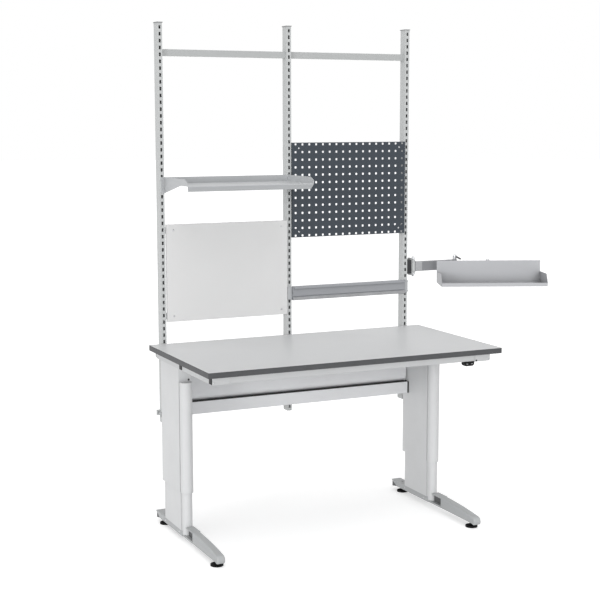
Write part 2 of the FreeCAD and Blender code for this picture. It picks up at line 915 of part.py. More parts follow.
def make_trough():
    """Folded cable trough with a round lower edge, hung from the tabletop between the legs."""
    end = leg_x - size.leg_thickness / 2 - size.trough_end_gap
    front = leg_rear - size.trough_inset
    back = front + size.trough_depth
    bottom = table_bottom - size.trough_drop
    metal = size.trough_sheet
    lip = bottom + size.trough_lip
    flange = front - size.trough_flange
    bend = front + size.trough_corner
    rise = bottom + size.trough_corner
    outer = size.trough_corner * math.sqrt(0.5)
    inner = (size.trough_corner - metal) * math.sqrt(0.5)
    outline = [
        (front, rise), Via(bend - outer, rise - outer), (bend, bottom),
        (back, bottom), (back, lip), (back - metal, lip), (back - metal, bottom + metal),
        (bend, bottom + metal), Via(bend - inner, rise - inner), (front + metal, rise),
        (front + metal, table_bottom), (flange, table_bottom),
        (flange, table_bottom - metal), (front, table_bottom - metal),
    ]
    bar("cable_trough", "x", -end, end, [outline])


UPRIGHTS = {"left": -1, "middle": 0, "right": 1}


def make_uprights():
    """Slotted square tubes with caps."""
    wall = size.upright_wall
    outside = rectangle(-upright_half, upright_front, upright_half, upright_back)
    inside = rectangle(wall - upright_half, upright_front + wall, upright_half - wall, upright_back - wall)
    half_width = size.slot_width / 2
    half_height = size.slot_height / 2
    slot = rectangle(-half_width, first_slot - half_height, half_width, first_slot + half_height)
    steps = whole((size.upright_length - size.slot_margin * 2) / size.slot_pitch)
    caps = []
    for name, sign in UPRIGHTS.items():
        body = new_body(f"{name}_upright")
        pad(body, "z", upright_bottom, upright_top, [outside, inside])
        opening = pocket(body, "y", upright_front - wall, upright_front + wall * 2, [slot])
        pattern = body.newObject("PartDesign::LinearPattern", f"{name}_slots")
        pattern.Originals = [opening]
        pattern.Direction = (opening.Profile[0], ["V_Axis"])
        pattern.Reversed = True
        bind(pattern, "Occurrences", steps + 1)
        bind(pattern, "Length", steps * size.slot_pitch)
        body.Tip = pattern
        x = sign * upright_x
        keep(place(body, (x, 0, 0)), f"{name}_upright")
        caps.append(upright_cap(name, x))
    group("upright_caps", caps)


def upright_cap(name, x):
    """A plastic cap whose plug sits inside the tube."""
    over = size.cap_overhang
    room = upright_half - size.upright_wall - size.cap_fit
    inset = size.upright_wall + size.cap_fit
    lid = box(
        f"{name}_cap_lid", (x - upright_half - over, upright_front - over, upright_top),
        (x + upright_half + over, upright_back + over, upright_top + size.cap_thickness),
    )
    plug = box(
        f"{name}_cap_plug", (x - room, upright_front + inset, upright_top - size.cap_plug),
        (x + room, upright_back - inset, upright_top),
    )
    return fuse(f"{name}_cap", [lid, plug])


def make_upright_brackets():
    """Clamp bars before and behind the uprights, spacers to the legs and beam, and their bolts."""
    plates = []
    bolts = []
    upper = table_bottom - size.upper_clamp_drop
    lower = upright_bottom + size.lower_clamp_rise
    bar_front = upright_front - size.clamp_thickness
    clamps = (
        ("left_upper", -1, upper, None), ("right_upper", 1, upper, None),
        ("left_lower", -1, lower, leg_rear), ("right_lower", 1, lower, leg_rear),
        ("middle_lower", 0, (beam_bottom + beam_top) / 2, beam_back),
    )
    for name, sign, height, seat in clamps:
        x = sign * upright_x
        plates.append(clamp_bar(name + "_front", x, bar_front, height))
        plates.append(clamp_bar(name + "_back", x, upright_back, height))
        if seat is not None:
            half = size.clamp_spacer_size / 2
            plates.append(box(
                name + "_spacer", (x - half, seat, height - half), (x + half, bar_front, height + half),
            ))
        for end, turn in SIDES.items():
            bolts.append(clamp_bolt(f"{name}_{end}_bolt", x + turn * size.clamp_bolt_spacing / 2, height))
    group("upright_brackets", plates)
    group("upright_bolts", bolts)


def clamp_bar(name, x, y, height):
    """A flat bar with a bolt hole near each end."""
    half = size.clamp_width / 2
    rise = size.clamp_height / 2
    plate = box(
        name + "_plate", (x - half, y, height - rise), (x + half, y + size.clamp_thickness, height + rise),
    )
    holes = []
    for end, turn in SIDES.items():
        holes.append(rod(
            f"{name}_{end}_hole", size.clamp_bolt_radius + size.clamp_bolt_fit, size.clamp_thickness * 3,
            (x + turn * size.clamp_bolt_spacing / 2, y - size.clamp_thickness, height), "y",
        ))
    return cut(name, plate, holes)


def clamp_bolt(name, x, height):
    """A bolt through both clamp bars, with its nut as a second head."""
    start = upright_front - size.clamp_thickness
    end = upright_back + size.clamp_thickness
    shank = rod(name + "_shank", size.clamp_bolt_radius, end - start, (x, start, height), "y")
    head = rod(
        name + "_head", size.clamp_head_radius, size.clamp_bolt_head, (x, end, height), "y",
    )
    return fuse(name, [shank, head])


def make_top_beams():
    """Tubes that tie the uprights together near the top."""
    middle = (upright_front + upright_back) / 2
    half = size.top_beam_depth / 2
    top = upright_top - size.top_beam_drop
    wall = size.top_beam_wall
    outside = rectangle(middle - half, top - size.top_beam_height, middle + half, top)
    inside = rectangle(
        middle - half + wall, top - size.top_beam_height + wall, middle + half - wall, top - wall,
    )
    beams = []
    for side, x in bay_middle.items():
        body = new_body(f"{side}_top_beam")
        pad(body, "x", -bay_half, bay_half, [outside, inside])
        beams.append(place(body, (x, 0, 0)))
    group("top_beams", beams)


panel_front = upright_front - size.panel_front_gap
panel_back = panel_front + size.panel_depth


def make_white_panel():
    """Plain white board in the left bay."""
    half = bay_half - size.white_panel_margin
    bottom = table_top + size.white_panel_rise
    board = rectangle(-half, bottom, half, bottom + size.panel_height)
    body = new_body("white_panel")
    pad(body, "y", panel_front, panel_back, [board])
    screw_holes(body, bottom, size.white_panel_margin)
    keep(place(body, (bay_middle["left"], 0, 0)), "white_panel")


def screw_spots(bottom):
    """Places of the four screws of a panel, from the middle of its bay."""
    reach = bay_half - size.panel_screw_inset
    low = bottom + size.panel_screw_rise
    high = bottom + size.panel_height - size.panel_screw_rise
    return [(-reach, low), (reach, low), (-reach, high), (reach, high)]


def screw_holes(body, bottom, margin):
    """The four holes of a panel's screws."""
    holes = [circle_loop(x, z, size.panel_screw_radius) for x, z in screw_spots(bottom)]
    pocket(body, "y", panel_front, panel_back + margin, holes)


def make_perforated_panel():
    """Folded steel tray with a square grid of square holes."""
    half = bay_half - size.perforated_panel_margin
    bottom = table_top + size.perforated_panel_rise
    top = bottom + size.panel_height
    metal = size.panel_sheet
    body = new_body("perforated_panel")
    pad(body, "y", panel_front, panel_back, [rectangle(-half, bottom, half, top)])
    room = rectangle(metal - half, bottom + metal, half - metal, top - metal)
    pocket(body, "y", panel_front + metal, panel_back, [room])
    screw_holes(body, bottom, size.perforated_panel_margin)
    column_steps = whole((half - size.hole_margin) * 2 / size.hole_pitch)
    row_steps = whole((size.panel_height - size.hole_margin * 2) / size.hole_pitch)
    left = column_steps * size.hole_pitch / -2
    low = (bottom + top) / 2 - row_steps * size.hole_pitch / 2
    reach = size.hole_size / 2
    hole = rectangle(left - reach, low - reach, left + reach, low + reach)
    opening = pocket(body, "y", panel_front - metal, panel_front + metal * 2, [hole])
    grid = body.newObject("PartDesign::MultiTransform", "perforation")
    grid.Originals = [opening]
    steps = (
        ("perforation_row", "H_Axis", column_steps),
        ("perforation_column", "V_Axis", row_steps),
    )
    patterns = []
    for name, axis, count in steps:
        pattern = body.newObject("PartDesign::LinearPattern", name)
        pattern.Direction = (opening.Profile[0], [axis])
        bind(pattern, "Occurrences", count + 1)
        bind(pattern, "Length", count * size.hole_pitch)
        patterns.append(pattern)
    grid.Transformations = patterns
    body.Tip = grid
    keep(place(body, (bay_middle["right"], 0, 0)), "perforated_panel")


def make_panel_fixings():
    """Angle brackets between the panels and the uprights, and the screws through both."""
    brackets = []
    screws = []
    metal = size.panel_bracket_sheet
    rise = size.panel_bracket_height / 2
    panels = (("left", size.white_panel_rise), ("right", size.perforated_panel_rise))
    for side, panel_rise in panels:
        middle = bay_middle[side]
        for number, (x, z) in enumerate(screw_spots(table_top + panel_rise), start=1):
            turn = -1 if x.value < 0 else 1
            wall = turn * bay_half
            inner = turn * (bay_half - size.panel_screw_inset - size.panel_bracket_overlap)
            face_low, face_high = (wall, inner) if turn < 0 else (inner, wall)
            leg_low, leg_high = (wall, wall + metal) if turn < 0 else (wall - metal, wall)
            name = f"{side}_panel_{number}"
            face = box(
                name + "_face", (middle + face_low, panel_back, z - rise),
                (middle + face_high, panel_back + metal, z + rise),
            )
            leg = box(
                name + "_leg", (middle + leg_low, panel_back, z - rise),
                (middle + leg_high, panel_back + size.panel_bracket_depth, z + rise),
            )
            hole = rod(
                name + "_hole", size.panel_screw_radius, metal * 3, (middle + x, panel_back - metal, z), "y",
            )
            brackets.append(cut(name + "_bracket", fuse(name + "_angle", [face, leg]), [hole]))
            shank = rod(
                name + "_shank", size.panel_screw_radius, size.panel_depth + metal,
                (middle + x, panel_front, z), "y",
            )
            head = rod(
                name + "_head", size.panel_screw_head_radius, size.panel_screw_head,
                (middle + x, panel_front - size.panel_screw_head, z), "y",
            )
            screws.append(fuse(name + "_screw", [shank, head]))
    group("panel_brackets", brackets)
    group("panel_screws", screws)


shelf_top = slot_above(table_top + size.shelf_rise)
shelf_half = upright_x / 2 - size.shelf_end_gap
shelf_back = upright_front - size.shelf_rear_gap
shelf_front = shelf_back - size.shelf_depth


def make_shelf():
    """Folded shelf: upstand at the back, lip and hem at the front."""
    metal = size.shelf_sheet
    lip = shelf_top - size.shelf_lip
    upstand = shelf_top + size.shelf_upstand
    outline = [
        (shelf_front, shelf_top), (shelf_front, lip), (shelf_front + size.shelf_hem, lip),
        (shelf_front + size.shelf_hem, lip + metal), (shelf_front + metal, lip + metal),
        (shelf_front + metal, shelf_top - metal), (shelf_back, shelf_top - metal), (shelf_back, upstand),
        (shelf_back - metal, upstand), (shelf_back - metal, shelf_top),
    ]
    bar("shelf", "x", -shelf_half, shelf_half, [outline], (bay_middle["left"], 0, 0))


def make_shelf_brackets():
    """Side plates of the shelf, each with a flange on its upright and hooks in two slots."""
    metal = size.shelf_bracket_sheet
    top = shelf_top + size.shelf_upstand
    bottom = shelf_top - size.shelf_bracket_drop
    underside = shelf_top - size.shelf_sheet
    toe = shelf_front + size.shelf_sheet
    waist = shelf_front + size.shelf_bracket_waist
    side = [
        (upright_front, bottom), (upright_front, top), (toe + size.shelf_bracket_toe, top),
        (toe, top - size.shelf_upstand / 2), (toe, underside), (waist, underside),
    ]
    brackets = []
    for end, sign in SIDES.items():
        inner = sign * shelf_half
        outer = sign * (shelf_half + metal)
        cover = sign * (shelf_half + metal + size.shelf_flange_cover)
        body = new_body(f"{end}_shelf_bracket")
        low, high = (outer, inner) if sign < 0 else (inner, outer)
        pad(body, "x", low, high, [side])
        low, high = (cover, inner) if sign < 0 else (inner, cover)
        pad(body, "y", upright_front - metal, upright_front, [rectangle(low, bottom, high, top)])
        middle = sign * upright_x / 2
        hooks = []
        for index in (0, 1):
            hooks.append(hook_outline(middle, shelf_top - size.slot_pitch * index))
        pad(body, "y", upright_front - metal, upright_front + size.hook_depth, hooks)
        brackets.append(place(body, (bay_middle["left"], 0, 0)))
    group("shelf_brackets", brackets)


def hook_outline(x, z):
    """Section of a hook that enters a slot."""
    half_width = size.hook_width / 2
    half_height = size.hook_height / 2
    return rectangle(x - half_width, z - half_height, x + half_width, z + half_height)


def make_bin_rail():
    """Hollow rail with a grooved front and a proud lower lip, hung on two hooked brackets."""
    back = upright_front - size.bin_rail_bracket_depth
    front = back - size.bin_rail_depth
    lip = front - size.bin_rail_lip_depth
    lower_slot = slot_above(table_top + size.bin_rail_rise)
    bottom = lower_slot - size.bin_rail_hang
    top = bottom + size.bin_rail_height
    lip_top = bottom + size.bin_rail_lip
    groove_top = lip_top + size.bin_rail_groove
    groove_back = front + size.bin_rail_groove
    wall = size.bin_rail_wall
    outside = [
        (lip, bottom), (back, bottom), (back, top), (front, top), (front, groove_top),
        (groove_back, groove_top), (groove_back, lip_top), (lip, lip_top),
    ]
    upper = rectangle(front + wall, groove_top + wall, back - wall, top - wall)
    lower = rectangle(lip + wall, bottom + wall, back - wall, lip_top - wall)
    half = upright_x / 2 - size.bin_rail_end_gap
    bar("bin_rail", "x", -half, half, [outside, upper, lower], (bay_middle["right"], 0, 0))
    brackets = []
    reach = size.bin_rail_bracket_width
    height = (bottom + top) / 2
    rise = size.bin_rail_bracket_height / 2
    for end, sign in SIDES.items():
        middle = sign * upright_x / 2
        inner = middle - sign * reach
        outer = middle + sign * upright_half
        low, high = (outer, inner) if sign < 0 else (inner, outer)
        body = new_body(f"{end}_bin_rail_bracket")
        pad(body, "y", back, upright_front, [rectangle(low, height - rise, high, height + rise)])
        hooks = []
        for index in (0, 1):
            hooks.append(hook_outline(middle, lower_slot + size.slot_pitch * index))
        pad(body, "y", back, upright_front + size.hook_depth, hooks)
        brackets.append(place(body, (bay_middle["right"], 0, 0)))
    group("bin_rail_brackets", brackets)


arm_middle = table_top + size.arm_rise
arm_low = arm_middle - size.arm_height / 2
arm_high = arm_middle + size.arm_height / 2
arm_y = upright_front + size.arm_setback
arm_bracket_x = upright_x + upright_half + size.clamp_block_width
shoulder_x = arm_bracket_x + size.arm_bracket_sheet + size.eye_gap + size.eye_radius
elbow_x = shoulder_x + size.arm_length
tray_pivot_x = elbow_x + size.forearm_length * cosine(size.forearm_angle)
tray_pivot_y = arm_y + size.forearm_length * sine(size.forearm_angle)
fork_low = arm_low + size.lug_thickness
fork_high = arm_high - size.lug_thickness


def make_arm_clamp():
    """Block on the side of the right upright, the bracket with its two lugs, and the pivot pin."""
    block_x = upright_x + upright_half
    half_depth = size.clamp_block_depth / 2
    half_height = size.clamp_block_height / 2
    middle_y = (upright_front + upright_back) / 2
    corner = size.lug_thickness
    block = round_rectangle(
        middle_y - half_depth, arm_middle - half_height,
        middle_y + half_depth, arm_middle + half_height, corner,
    )
    bar("arm_clamp_block", "x", block_x, arm_bracket_x, [block])
    body = new_body("arm_bracket")
    plate_half = size.arm_bracket_height / 2
    plate = round_rectangle(
        middle_y - half_depth, arm_middle - plate_half,
        middle_y + half_depth, arm_middle + plate_half, corner * 2,
    )
    plate_front = arm_bracket_x + size.arm_bracket_sheet
    pad(body, "x", arm_bracket_x, plate_front, [plate])
    bore = circle_loop(shoulder_x, arm_y, size.pivot_radius)
    lug = [
        (arm_bracket_x, arm_y - size.eye_radius), (shoulder_x, arm_y - size.eye_radius),
        Via(shoulder_x + size.eye_radius, arm_y), (shoulder_x, arm_y + size.eye_radius),
        (arm_bracket_x, arm_y + size.eye_radius),
    ]
    upper = arm_high + size.lug_fit
    lower = arm_low - size.lug_fit
    pad(body, "z", upper, upper + size.lug_thickness, [lug, bore])
    pad(body, "z", lower - size.lug_thickness, lower, [lug, bore])
    keep(body, "arm_bracket")
    pin_low = lower - size.lug_thickness
    pin_high = upper + size.lug_thickness
    shank = rod("shoulder_shank", size.pivot_radius, pin_high - pin_low, (shoulder_x, arm_y, pin_low))
    head = rod("shoulder_head", size.pivot_head_radius, size.shoulder_head, (shoulder_x, arm_y, pin_high))
    nut = rod(
        "shoulder_nut", size.pivot_head_radius, size.shoulder_head,
        (shoulder_x, arm_y, pin_low - size.shoulder_head),
    )
    keep(fuse("shoulder_pin", [shank, head, nut]), "shoulder_pin")


def tube_with_eye(name, length, low, high, thickness, end):
    """A rectangular tube from an eye at the origin to a given end."""
    half = thickness / 2
    outer = box(name + "_tube", (size.eye_radius / 2, -half, low), (end, half, high))
    eye = rod(name + "_eye", size.eye_radius, high - low, (0, 0, low))
    hollow = box(
        name + "_hollow", (size.eye_radius, size.arm_wall - half, low + size.arm_wall),
        (end - size.arm_wall, half - size.arm_wall, high - size.arm_wall),
    )
    bore = rod(name + "_bore", size.pivot_radius + size.pivot_fit, length, (0, 0, low - length / 2))
    return cut(name + "_body", fuse(name + "_solid", [outer, eye]), [hollow, bore])


def make_arm():
    """First link: an eye on the shoulder pin, a tube, and a fork at the elbow."""
    tube_end = size.arm_length - size.eye_radius - size.eye_gap
    tube = tube_with_eye("arm", size.arm_length, arm_low, arm_high, size.arm_thickness, tube_end)
    half = size.arm_thickness / 2
    lugs = []
    for name, low, high in (("upper", fork_high, arm_high), ("lower", arm_low, fork_low)):
        strip = box(f"elbow_{name}_strip", (tube_end - half, -half, low), (size.arm_length, half, high))
        end = rod(f"elbow_{name}_end", size.eye_radius, size.lug_thickness, (size.arm_length, 0, low))
        lugs += [strip, end]
    bore = rod(
        "elbow_bore", size.pivot_radius + size.pivot_fit, size.arm_height * 2,
        (size.arm_length, 0, arm_low - size.arm_height / 2),
    )
    arm = cut("arm_link", fuse("arm_with_fork", [tube] + lugs), [bore])
    keep(place(arm, (shoulder_x, arm_y, 0)), "arm_link")


def make_lever():
    """Clamping lever on top of the elbow; its stud is the elbow's pivot."""
    body = new_body("clamp_lever")
    hub = circle_loop(as_size(0), as_size(0), size.lever_hub_radius)
    base = arm_high + size.lug_fit
    top = base + size.lever_hub_height
    pad(body, "z", base, top, [hub])
    half = size.lever_width / 2
    tip = size.lever_reach
    handle = [
        (0, top - size.lever_thickness), (tip, top - size.lever_thickness - size.lever_tip_drop),
        Via(tip + size.lever_thickness / 2, top - size.lever_thickness / 2 - size.lever_tip_drop),
        (tip, top - size.lever_tip_drop), (0, top),
    ]
    pad(body, "y", -half, half, [handle])
    stud = circle_loop(as_size(0), as_size(0), size.pivot_radius)
    pad(body, "z", arm_low, base, [stud])
    keep(place(body, (elbow_x, arm_y, 0), size.lever_angle), "clamp_lever")


def make_forearm():
    """Second link: an eye in the elbow's fork and an eye in the tray's fork."""
    low = fork_low + size.lug_fit
    high = fork_high - size.lug_fit
    length = size.forearm_length
    tube = tube_with_eye("forearm", length, low, high, size.forearm_thickness, length)
    eye = rod("forearm_far_eye", size.eye_radius, high - low, (size.forearm_length, 0, low))
    bore = rod(
        "forearm_far_bore", size.pivot_radius + size.pivot_fit, (high - low) * 2,
        (size.forearm_length, 0, low - (high - low) / 2),
    )
    link = cut("forearm", fuse("forearm_with_eye", [tube, eye]), [bore])
    keep(place(link, (elbow_x, arm_y, 0), size.forearm_angle), "forearm")


def make_tray():
    """Open tray: tall back, low front lip and end plates that slope down to it."""
    metal = size.tray_sheet
    half = size.tray_length / 2
    back = -size.tray_standoff
    front = back - size.tray_depth
    top = arm_high + size.tray_rise
    bottom = top - size.tray_back
    lip = bottom + size.tray_lip
    end_top = bottom + size.tray_end
    slope = (front + size.tray_slant / 2 - size.tray_bulge, (end_top + lip) / 2)
    trough = [
        (back, top), (back, bottom), (front, bottom), (front, lip), (front + metal, lip),
        (front + metal, bottom + metal), (back - metal, bottom + metal), (back - metal, top),
    ]
    cheek = [
        (back, bottom), (back, end_top - size.tray_end_fall), (front + size.tray_slant, end_top),
        Via(*slope), (front, lip), (front, bottom),
    ]
    body = new_body("tray")
    pad(body, "x", -half, half, [trough])
    pad(body, "x", -half, metal - half, [cheek])
    pad(body, "x", half - metal, half, [cheek])
    keep(place(body, (tray_pivot_x, tray_pivot_y, 0), size.tray_angle), "tray")


def make_tray_bracket():
    """Bracket on the back of the tray, its two lugs round the forearm's eye, and the pivot pin."""
    half = size.tray_plate_width / 2
    back = -size.tray_standoff
    body = new_body("tray_bracket")
    plate = rectangle(-half, arm_low, half, arm_high)
    pad(body, "y", back, back + size.tray_plate_sheet, [plate])
    lug = [
        (-size.eye_radius, back), (size.eye_radius, back), (size.eye_radius, 0),
        Via(0, size.eye_radius), (-size.eye_radius, 0),
    ]
    bore = circle_loop(as_size(0), as_size(0), size.pivot_radius)
    pad(body, "z", fork_high, arm_high, [lug, bore])
    pad(body, "z", arm_low, fork_low, [lug, bore])
    keep(place(body, (tray_pivot_x, tray_pivot_y, 0), size.tray_angle), "tray_bracket")
    shank = rod("tray_shank", size.pivot_radius, size.arm_height, (0, 0, arm_low))
    head = rod("tray_head", size.pivot_head_radius, size.pivot_head, (0, 0, arm_high))
    pin = fuse("tray_pin", [shank, head])
    keep(place(pin, (tray_pivot_x, tray_pivot_y, 0)), "tray_pin")


def make_controls():
    """Control box with its mains inlet, and the switch with two push buttons under the front rail."""
    low_x = size.control_box_x
    high_x = low_x + size.control_box_length
    low_y = table_back - size.control_box_setback - size.control_box_depth / 2
    high_y = low_y + size.control_box_depth
    box_bottom = table_bottom - size.control_box_height
    body = new_body("control_box")
    corner = size.switch_corner
    pad(body, "z", box_bottom, table_bottom, [round_rectangle(low_x, low_y, high_x, high_y, corner)])
    inlet_low = box_bottom + (size.control_box_height - size.inlet_height) / 2
    inlet_x = low_x + size.inlet_width
    inlet = rectangle(inlet_x, inlet_low, inlet_x + size.inlet_width, inlet_low + size.inlet_height)
    pocket(body, "y", high_y - size.inlet_depth, high_y, [inlet])
    keep(body, "control_box")

    right = leg_x - size.support_width / 2 - size.switch_end_gap
    left = right - size.switch_width
    middle = (left + right) / 2
    front = front_rail_y - size.rail_depth / 2 - size.switch_proud
    bottom = rail_bottom - size.switch_height
    height = (bottom + rail_bottom) / 2
    body = new_body("switch_housing")
    shell = round_rectangle(left, bottom, right, rail_bottom, corner)
    pad(body, "y", front, front + size.switch_depth, [shell])
    windows = []
    for sign in (-1, 1):
        windows.append(button_outline(middle + sign * size.button_pitch / 2, height, size.button_fit))
    well = size.button_length + size.button_travel + size.button_fit
    pocket(body, "y", front, front + well, windows)
    keep(body, "switch_housing")
    for name, sign in (("down_button", -1), ("up_button", 1)):
        face = button_outline(middle + sign * size.button_pitch / 2, height, as_size(0))
        bar(name, "y", front - size.button_proud, front + size.button_length, [face])


def button_outline(x, z, grow):
    """Outline of a button, or of its window when it is grown by the fit."""
    half_width = size.button_width / 2 + grow
    half_height = size.button_height / 2 + grow
    corner = size.button_corner + grow
    return round_rectangle(x - half_width, z - half_height, x + half_width, z + half_height, corner)


def check_and_write():
    """Stop on any failed object, then write each sub-part to its own file."""
    doc.recompute()
    for thing in doc.Objects:
        if "Invalid" in thing.State or "Error" in thing.State:
            raise RuntimeError(f"{thing.Label} failed: {thing.State}")
    for thing in sub_parts:
        if thing.Shape.isNull() or not thing.Shape.isValid() or not thing.Shape.Solids:
            raise RuntimeError(f"{thing.Label} has no valid solid")
    os.makedirs("parts", exist_ok=True)
    for thing in sub_parts:
        thing.Shape.exportStep(f"parts/{thing.Label}.step")
        print(f"{thing.Label}: {len(thing.Shape.Solids)} solid(s), {thing.Shape.Volume / 1000:.1f} cm3")


make_tabletop()
make_rails()
make_supports()
make_sleeves()
make_columns()
make_glides()
make_drives()
make_rear_feet()
make_front_feet()
make_pads()
make_beam()
make_trough()
make_uprights()
make_upright_brackets()
make_top_beams()
make_white_panel()
make_perforated_panel()
make_panel_fixings()
make_shelf()
make_shelf_brackets()
make_bin_rail()
make_arm_clamp()
make_arm()
make_lever()
make_forearm()
make_tray()
make_tray_bracket()
make_controls()
check_and_write()
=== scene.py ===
"""Looks of the height-adjustable workbench: finishes, small hardware, floor, light and camera."""
import math

import bmesh
import bpy
from mathutils import Matrix, Vector


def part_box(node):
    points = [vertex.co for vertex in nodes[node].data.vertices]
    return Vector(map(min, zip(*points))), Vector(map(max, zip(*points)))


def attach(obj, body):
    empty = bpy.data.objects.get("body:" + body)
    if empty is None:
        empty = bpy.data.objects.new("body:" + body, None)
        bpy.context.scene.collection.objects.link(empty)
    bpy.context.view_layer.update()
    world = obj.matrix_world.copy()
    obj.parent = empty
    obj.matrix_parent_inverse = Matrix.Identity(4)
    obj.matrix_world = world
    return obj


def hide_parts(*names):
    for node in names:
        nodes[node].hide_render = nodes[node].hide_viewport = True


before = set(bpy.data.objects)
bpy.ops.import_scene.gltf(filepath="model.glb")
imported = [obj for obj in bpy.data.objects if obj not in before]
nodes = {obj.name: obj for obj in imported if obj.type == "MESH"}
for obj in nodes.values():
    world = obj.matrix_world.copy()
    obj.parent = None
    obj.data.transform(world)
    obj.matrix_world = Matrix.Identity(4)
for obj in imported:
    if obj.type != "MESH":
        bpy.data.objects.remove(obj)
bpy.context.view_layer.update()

MM = 0.001
SIDES = ("left", "right")
FRONT, BACK = (0, -1, 0), (0, 1, 0)
LEFT, RIGHT = (-1, 0, 0), (1, 0, 0)
DOWN, UP = (0, 0, -1), (0, 0, 1)

# Colour

WHITE = (1, 1, 1, 1)
PALE_GREY = (0.8, 0.8, 0.8, 1)
GREY = (0.5, 0.5, 0.5, 1)


def linear(level):
    """A screen level of 0 to 255 on the linear scale of light."""
    toe, toe_slope = 0.04045, 12.92
    lift, power = 0.055, 2.4
    share = level / 255
    return share / toe_slope if share <= toe else ((share + lift) / (1 + lift)) ** power


def shade(red, green, blue):
    """A screen colour of 0 to 255 as a linear colour for a shader."""
    return (linear(red), linear(green), linear(blue), 1.0)


# Shader nodes

COLOUR, NUMBER, VECTOR = "NodeSocketColor", "NodeSocketFloat", "NodeSocketVector"
FINISH_OUTPUTS = [("Color", COLOUR), ("Roughness", NUMBER), ("Height", NUMBER)]
UNIT = (0.0, 1.0)
# Most of a noise pattern lies between these two values.
NOISE_CORE = (0.3, 0.7)
# The sockets of a Mix node for colours go by number, because their names repeat.
MIX_SHARE, MIX_FIRST, MIX_SECOND, MIX_RESULT = 0, 6, 7, 2


def add_node(tree, kind, inputs=None, **settings):
    """A node with its settings; each input is a socket that feeds it or a plain value."""
    node = tree.nodes.new(kind)
    for key, value in settings.items():
        setattr(node, key, value)
    for key, source in (inputs or {}).items():
        if isinstance(source, bpy.types.NodeSocket):
            tree.links.new(source, node.inputs[key])
        else:
            node.inputs[key].default_value = source
    return node


def place_group(tree, group, inputs):
    """A node group placed in a material with its own values."""
    return add_node(tree, "ShaderNodeGroup", inputs, node_tree=group)


def object_place(tree, stretch=(1, 1, 1)):
    """Object coordinates, stretched along an axis where a finish has a direction."""
    place = add_node(tree, "ShaderNodeTexCoord").outputs["Object"]
    return add_node(tree, "ShaderNodeMapping", {"Vector": place, "Scale": stretch}).outputs["Vector"]


def noise(tree, place, scale, detail, roughness):
    """A cloudy pattern of values around one half."""
    inputs = {"Vector": place, "Scale": scale, "Detail": detail, "Roughness": roughness}
    return add_node(tree, "ShaderNodeTexNoise", inputs).outputs["Fac"]


def remap(tree, value, old, new):
    """A value stretched from one span to another, clamped at both ends."""
    inputs = {"Value": value}
    inputs["From Min"], inputs["From Max"] = old
    inputs["To Min"], inputs["To Max"] = new
    return add_node(tree, "ShaderNodeMapRange", inputs).outputs["Result"]


def calculate(tree, operation, first, second):
    """The result of one operation on two values."""
    return add_node(tree, "ShaderNodeMath", {0: first, 1: second}, operation=operation).outputs[0]


def multiply(tree, first, second):
    """The product of two values."""
    return calculate(tree, "MULTIPLY", first, second)


def tint(tree, colour, amount):
    """A colour made lighter or darker, by the same amount all over or by a varying one."""
    return add_node(tree, "ShaderNodeHueSaturation", {"Color": colour, "Value": amount}).outputs["Color"]


def mix_colours(tree, first, second, share):
    """The first colour with a share of the second."""
    inputs = {MIX_SHARE: share, MIX_FIRST: first, MIX_SECOND: second}
    return add_node(tree, "ShaderNodeMix", inputs, data_type="RGBA").outputs[MIX_RESULT]


# Shader node groups


def start_group(name, inputs, outputs):
    """A new node group with its sockets; gives the group, its entry sockets and its exit."""
    group = bpy.data.node_groups.new(name, "ShaderNodeTree")
    for label, kind, value in inputs:
        socket = group.interface.new_socket(label, in_out="INPUT", socket_type=kind)
        socket.default_value = value
    for label, kind in outputs:
        group.interface.new_socket(label, in_out="OUTPUT", socket_type=kind)
    return group, add_node(group, "NodeGroupInput").outputs, add_node(group, "NodeGroupOutput")


def put_out(group, leave, sources):
    """Link a source to each named output of a group."""
    for label, source in sources.items():
        group.links.new(source, leave.inputs[label])


def make_soft_edge_group():
    """Rounds every hard edge in the shading and marks where the edges are."""
    outputs = [("Normal", VECTOR), ("Edge", NUMBER)]
    group, entry, leave = start_group("soft edge", [("Radius", NUMBER, MM)], outputs)
    flat_to_turned = (0.99, 0.8)
    bevel = add_node(group, "ShaderNodeBevel", {"Radius": entry["Radius"]}, samples=6).outputs["Normal"]
    surface = add_node(group, "ShaderNodeNewGeometry").outputs["Normal"]
    turn = add_node(group, "ShaderNodeVectorMath", {0: bevel, 1: surface}, operation="DOT_PRODUCT")
    edge = remap(group, turn.outputs["Value"], flat_to_turned, UNIT)
    put_out(group, leave, {"Normal": bevel, "Edge": edge})
    return group


def make_dust_group():
    """A thin uneven film of dust on faces that look up."""
    inputs = [("Color", COLOUR, GREY), ("Amount", NUMBER, 0.1)]
    group, entry, leave = start_group("settled dust", inputs, [("Color", COLOUR)])
    sloped_to_level, thin_to_thick = (0.6, 1.0), (0.35, 0.75)
    dust_grey = shade(186, 184, 178)
    surface = add_node(group, "ShaderNodeNewGeometry").outputs["Normal"]
    slope = add_node(group, "ShaderNodeSeparateXYZ", {"Vector": surface}).outputs["Z"]
    upward = remap(group, slope, sloped_to_level, UNIT)
    cloud = noise(group, object_place(group), scale=14, detail=5, roughness=0.65)
    patches = remap(group, cloud, thin_to_thick, UNIT)
    share = multiply(group, multiply(group, upward, patches), entry["Amount"])
    put_out(group, leave, {"Color": mix_colours(group, entry["Color"], dust_grey, share)})
    return group


